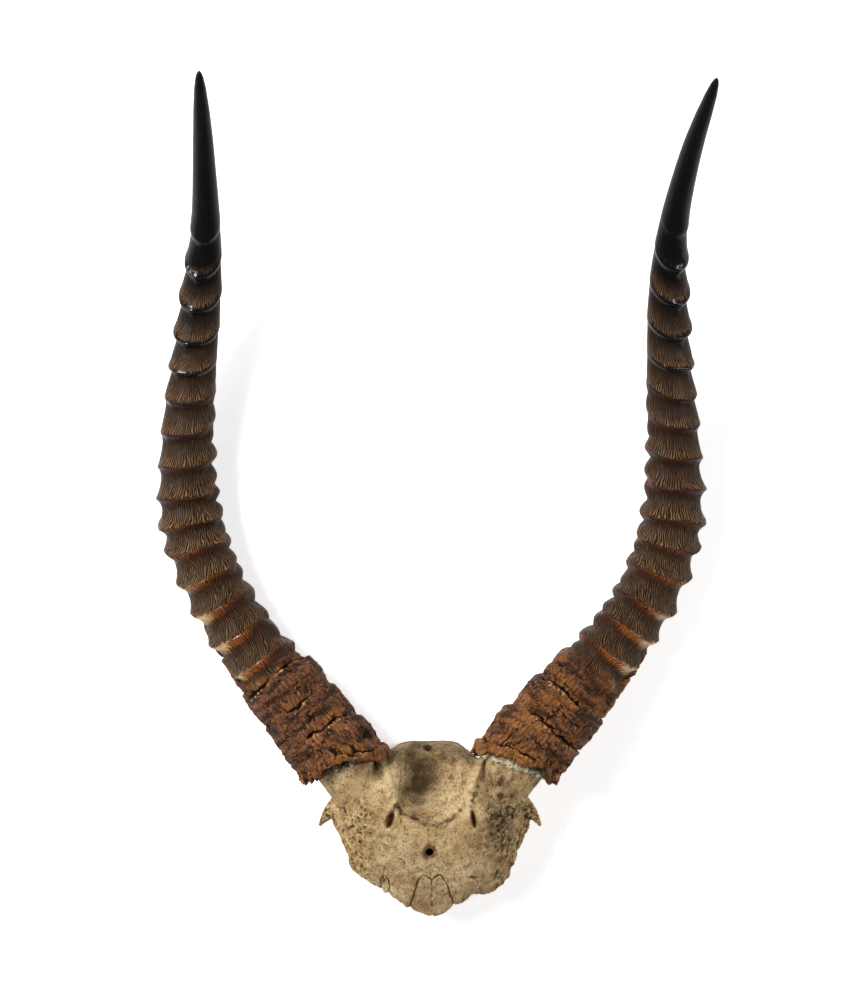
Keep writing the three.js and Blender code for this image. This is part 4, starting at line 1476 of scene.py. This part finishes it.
class FrontletStageSettings(bpy.types.PropertyGroup):
    floor: colour_property("Floor", "Colour of the floor", (250, 250, 250))
    floor_glow: bpy.props.FloatProperty(
        name="Floor Glow", description="Light that the floor itself gives, as a light table does",
        default=0.56,
    )
    camera_height: bpy.props.FloatProperty(
        name="Camera Height", description="Height of the camera above the floor", default=2.4,
        unit="LENGTH",
    )
    view_height: bpy.props.FloatProperty(
        name="Framed Height", description="Height of the picture at the floor", default=0.53,
        unit="LENGTH",
    )
    key_power: bpy.props.FloatProperty(
        name="Key Light", description="Power of the light on the upper left", default=26, unit="POWER"
    )
    side_power: bpy.props.FloatProperty(
        name="Side Lights", description="Power of each strip light beside the horns", default=7,
        unit="POWER",
    )
    sky: bpy.props.FloatProperty(
        name="Fill", description="Strength of the light from all round", default=0.1
    )


def colours(group):
    """The colours of a settings group, by name."""
    return {name: tuple(getattr(group, name)) for name in group.__annotations__}


# ---------------------------------------------------------------- operators


class FRONTLET_OT_horn_sheaths(bpy.types.Operator):
    """Make both horn sheaths"""

    bl_idname = "frontlet.horn_sheaths"
    bl_label = "Horn Sheaths"

    def execute(self, context):
        material = horn_finish(colours(context.scene.frontlet_horn))
        for horn in HORNS:
            mesh = sheath_shell(horn).mesh(f"{horn.name}_sheath")
            add_piece(f"{horn.name}_sheath", mesh, material, "horn", f"{horn.name}_horn_sheath")
        return {"FINISHED"}


class FRONTLET_OT_skull_plate(bpy.types.Operator):
    """Make the skull plate with its bony cores"""

    bl_idname = "frontlet.skull_plate"
    bl_label = "Skull Plate"

    def execute(self, context):
        mesh = fused_plate()
        roughen(mesh)
        material = bone_finish(colours(context.scene.frontlet_bone))
        add_piece("skull", mesh, material, "bone", "skull_plate")
        return {"FINISHED"}


class FRONTLET_OT_small_bones(bpy.types.Operator):
    """Make the stubs of the nasal bones and the chip beside them"""

    bl_idname = "frontlet.small_bones"
    bl_label = "Small Bones"

    def execute(self, context):
        material = bpy.data.materials["Bone"]
        for name, node, outline, sink, thickness, seed in SMALL_BONES:
            mesh = inlay_shell(outline, sink, thickness, seed).mesh(name)
            add_piece(name, mesh, material, "bone", node)
        return {"FINISHED"}


class FRONTLET_OT_dried_tissue(bpy.types.Operator):
    """Make the collars of dried tissue in the mouths of the sheaths"""

    bl_idname = "frontlet.dried_tissue"
    bl_label = "Dried Tissue"

    def execute(self, context):
        material = tissue_finish(colours(context.scene.frontlet_tissue))
        for horn in HORNS:
            mesh = tissue_shell(horn).mesh(f"{horn.name}_tissue")
            add_piece(f"{horn.name}_tissue", mesh, material, "dried_tissue", f"{horn.name}_dried_tissue")
        return {"FINISHED"}


def add_light(name, place, size, power, target=(0, 0, 0)):
    """A soft rectangular light that faces the target."""
    lamp = bpy.data.lights.new(name, "AREA")
    lamp.shape = "RECTANGLE"
    lamp.size, lamp.size_y = size
    lamp.energy = power
    light = bpy.data.objects.new(name, lamp)
    bpy.context.scene.collection.objects.link(light)
    light.location = place
    aim = light.location.copy()
    aim.x, aim.y, aim.z = (target[axis] - place[axis] for axis in range(3))
    light.rotation_euler = aim.to_track_quat("-Z", "Y").to_euler()


class FRONTLET_OT_stage(bpy.types.Operator):
    """Make the floor, the lights and the camera"""

    bl_idname = "frontlet.stage"
    bl_label = "Stage"

    def execute(self, context):
        scene = context.scene
        settings = scene.frontlet_stage
        bpy.ops.mesh.primitive_plane_add(size=12, location=(0, 0, 0))
        floor = context.active_object
        floor.name = "floor"
        finish = Finish("Floor")
        paper = finish.cloud(finish.place(), 900, 2.0)
        floor.data.materials.append(
            finish.set(
                Base_Color=tuple(settings.floor), Roughness=0.88 + 0.08 * paper,
                Emission_Color=tuple(settings.floor), Emission_Strength=settings.floor_glow,
            )
        )

        world = bpy.data.worlds.new("Studio")
        world.use_nodes = True
        world.node_tree.nodes["Background"].inputs["Color"].default_value = (1, 1, 1, 1)
        world.node_tree.nodes["Background"].inputs["Strength"].default_value = settings.sky
        scene.world = world

        add_light("key", (-1.0, 0.6, 1.4), (0.45, 0.45), settings.key_power)
        add_light("left_strip", (-0.9, 0.1, 0.75), (0.14, 1.0), settings.side_power, (-0.12, 0, 0.03))
        add_light("right_strip", (0.9, 0.1, 0.75), (0.14, 1.0), settings.side_power, (0.12, 0, 0.03))

        lens = bpy.data.cameras.new("camera")
        lens.sensor_fit = "VERTICAL"
        lens.sensor_height = 36
        lens.lens = lens.sensor_height * settings.camera_height / settings.view_height
        lens.clip_end = 50
        camera = bpy.data.objects.new("camera", lens)
        camera.location = (0, 0, settings.camera_height)
        scene.collection.objects.link(camera)
        scene.camera = camera
        scene.view_settings.view_transform = "Standard"
        return {"FINISHED"}


class FRONTLET_PT_panel(bpy.types.Panel):
    """Lists the pieces of the frontlet"""

    bl_label = "Horned Frontlet"
    bl_idname = "FRONTLET_PT_panel"
    bl_space_type = "VIEW_3D"
    bl_region_type = "UI"
    bl_category = "Frontlet"

    def draw(self, context):
        for operator in OPERATORS:
            self.layout.operator(operator.bl_idname)


SETTINGS = {
    "frontlet_horn": FrontletHornSettings,
    "frontlet_bone": FrontletBoneSettings,
    "frontlet_tissue": FrontletTissueSettings,
    "frontlet_stage": FrontletStageSettings,
}
OPERATORS = (
    FRONTLET_OT_stage,
    FRONTLET_OT_horn_sheaths,
    FRONTLET_OT_skull_plate,
    FRONTLET_OT_small_bones,
    FRONTLET_OT_dried_tissue,
)
CLASSES = (*SETTINGS.values(), *OPERATORS, FRONTLET_PT_panel)


def register():
    for entry in CLASSES:
        bpy.utils.register_class(entry)
    for name, group in SETTINGS.items():
        setattr(bpy.types.Scene, name, bpy.props.PointerProperty(type=group))


def unregister():
    for name in SETTINGS:
        delattr(bpy.types.Scene, name)
    for entry in reversed(CLASSES):
        bpy.utils.unregister_class(entry)


def main():
    register()
    bpy.ops.frontlet.stage()
    bpy.ops.frontlet.horn_sheaths()
    bpy.ops.frontlet.skull_plate()
    bpy.ops.frontlet.small_bones()
    bpy.ops.frontlet.dried_tissue()


if __name__ == "__main__":
    main()
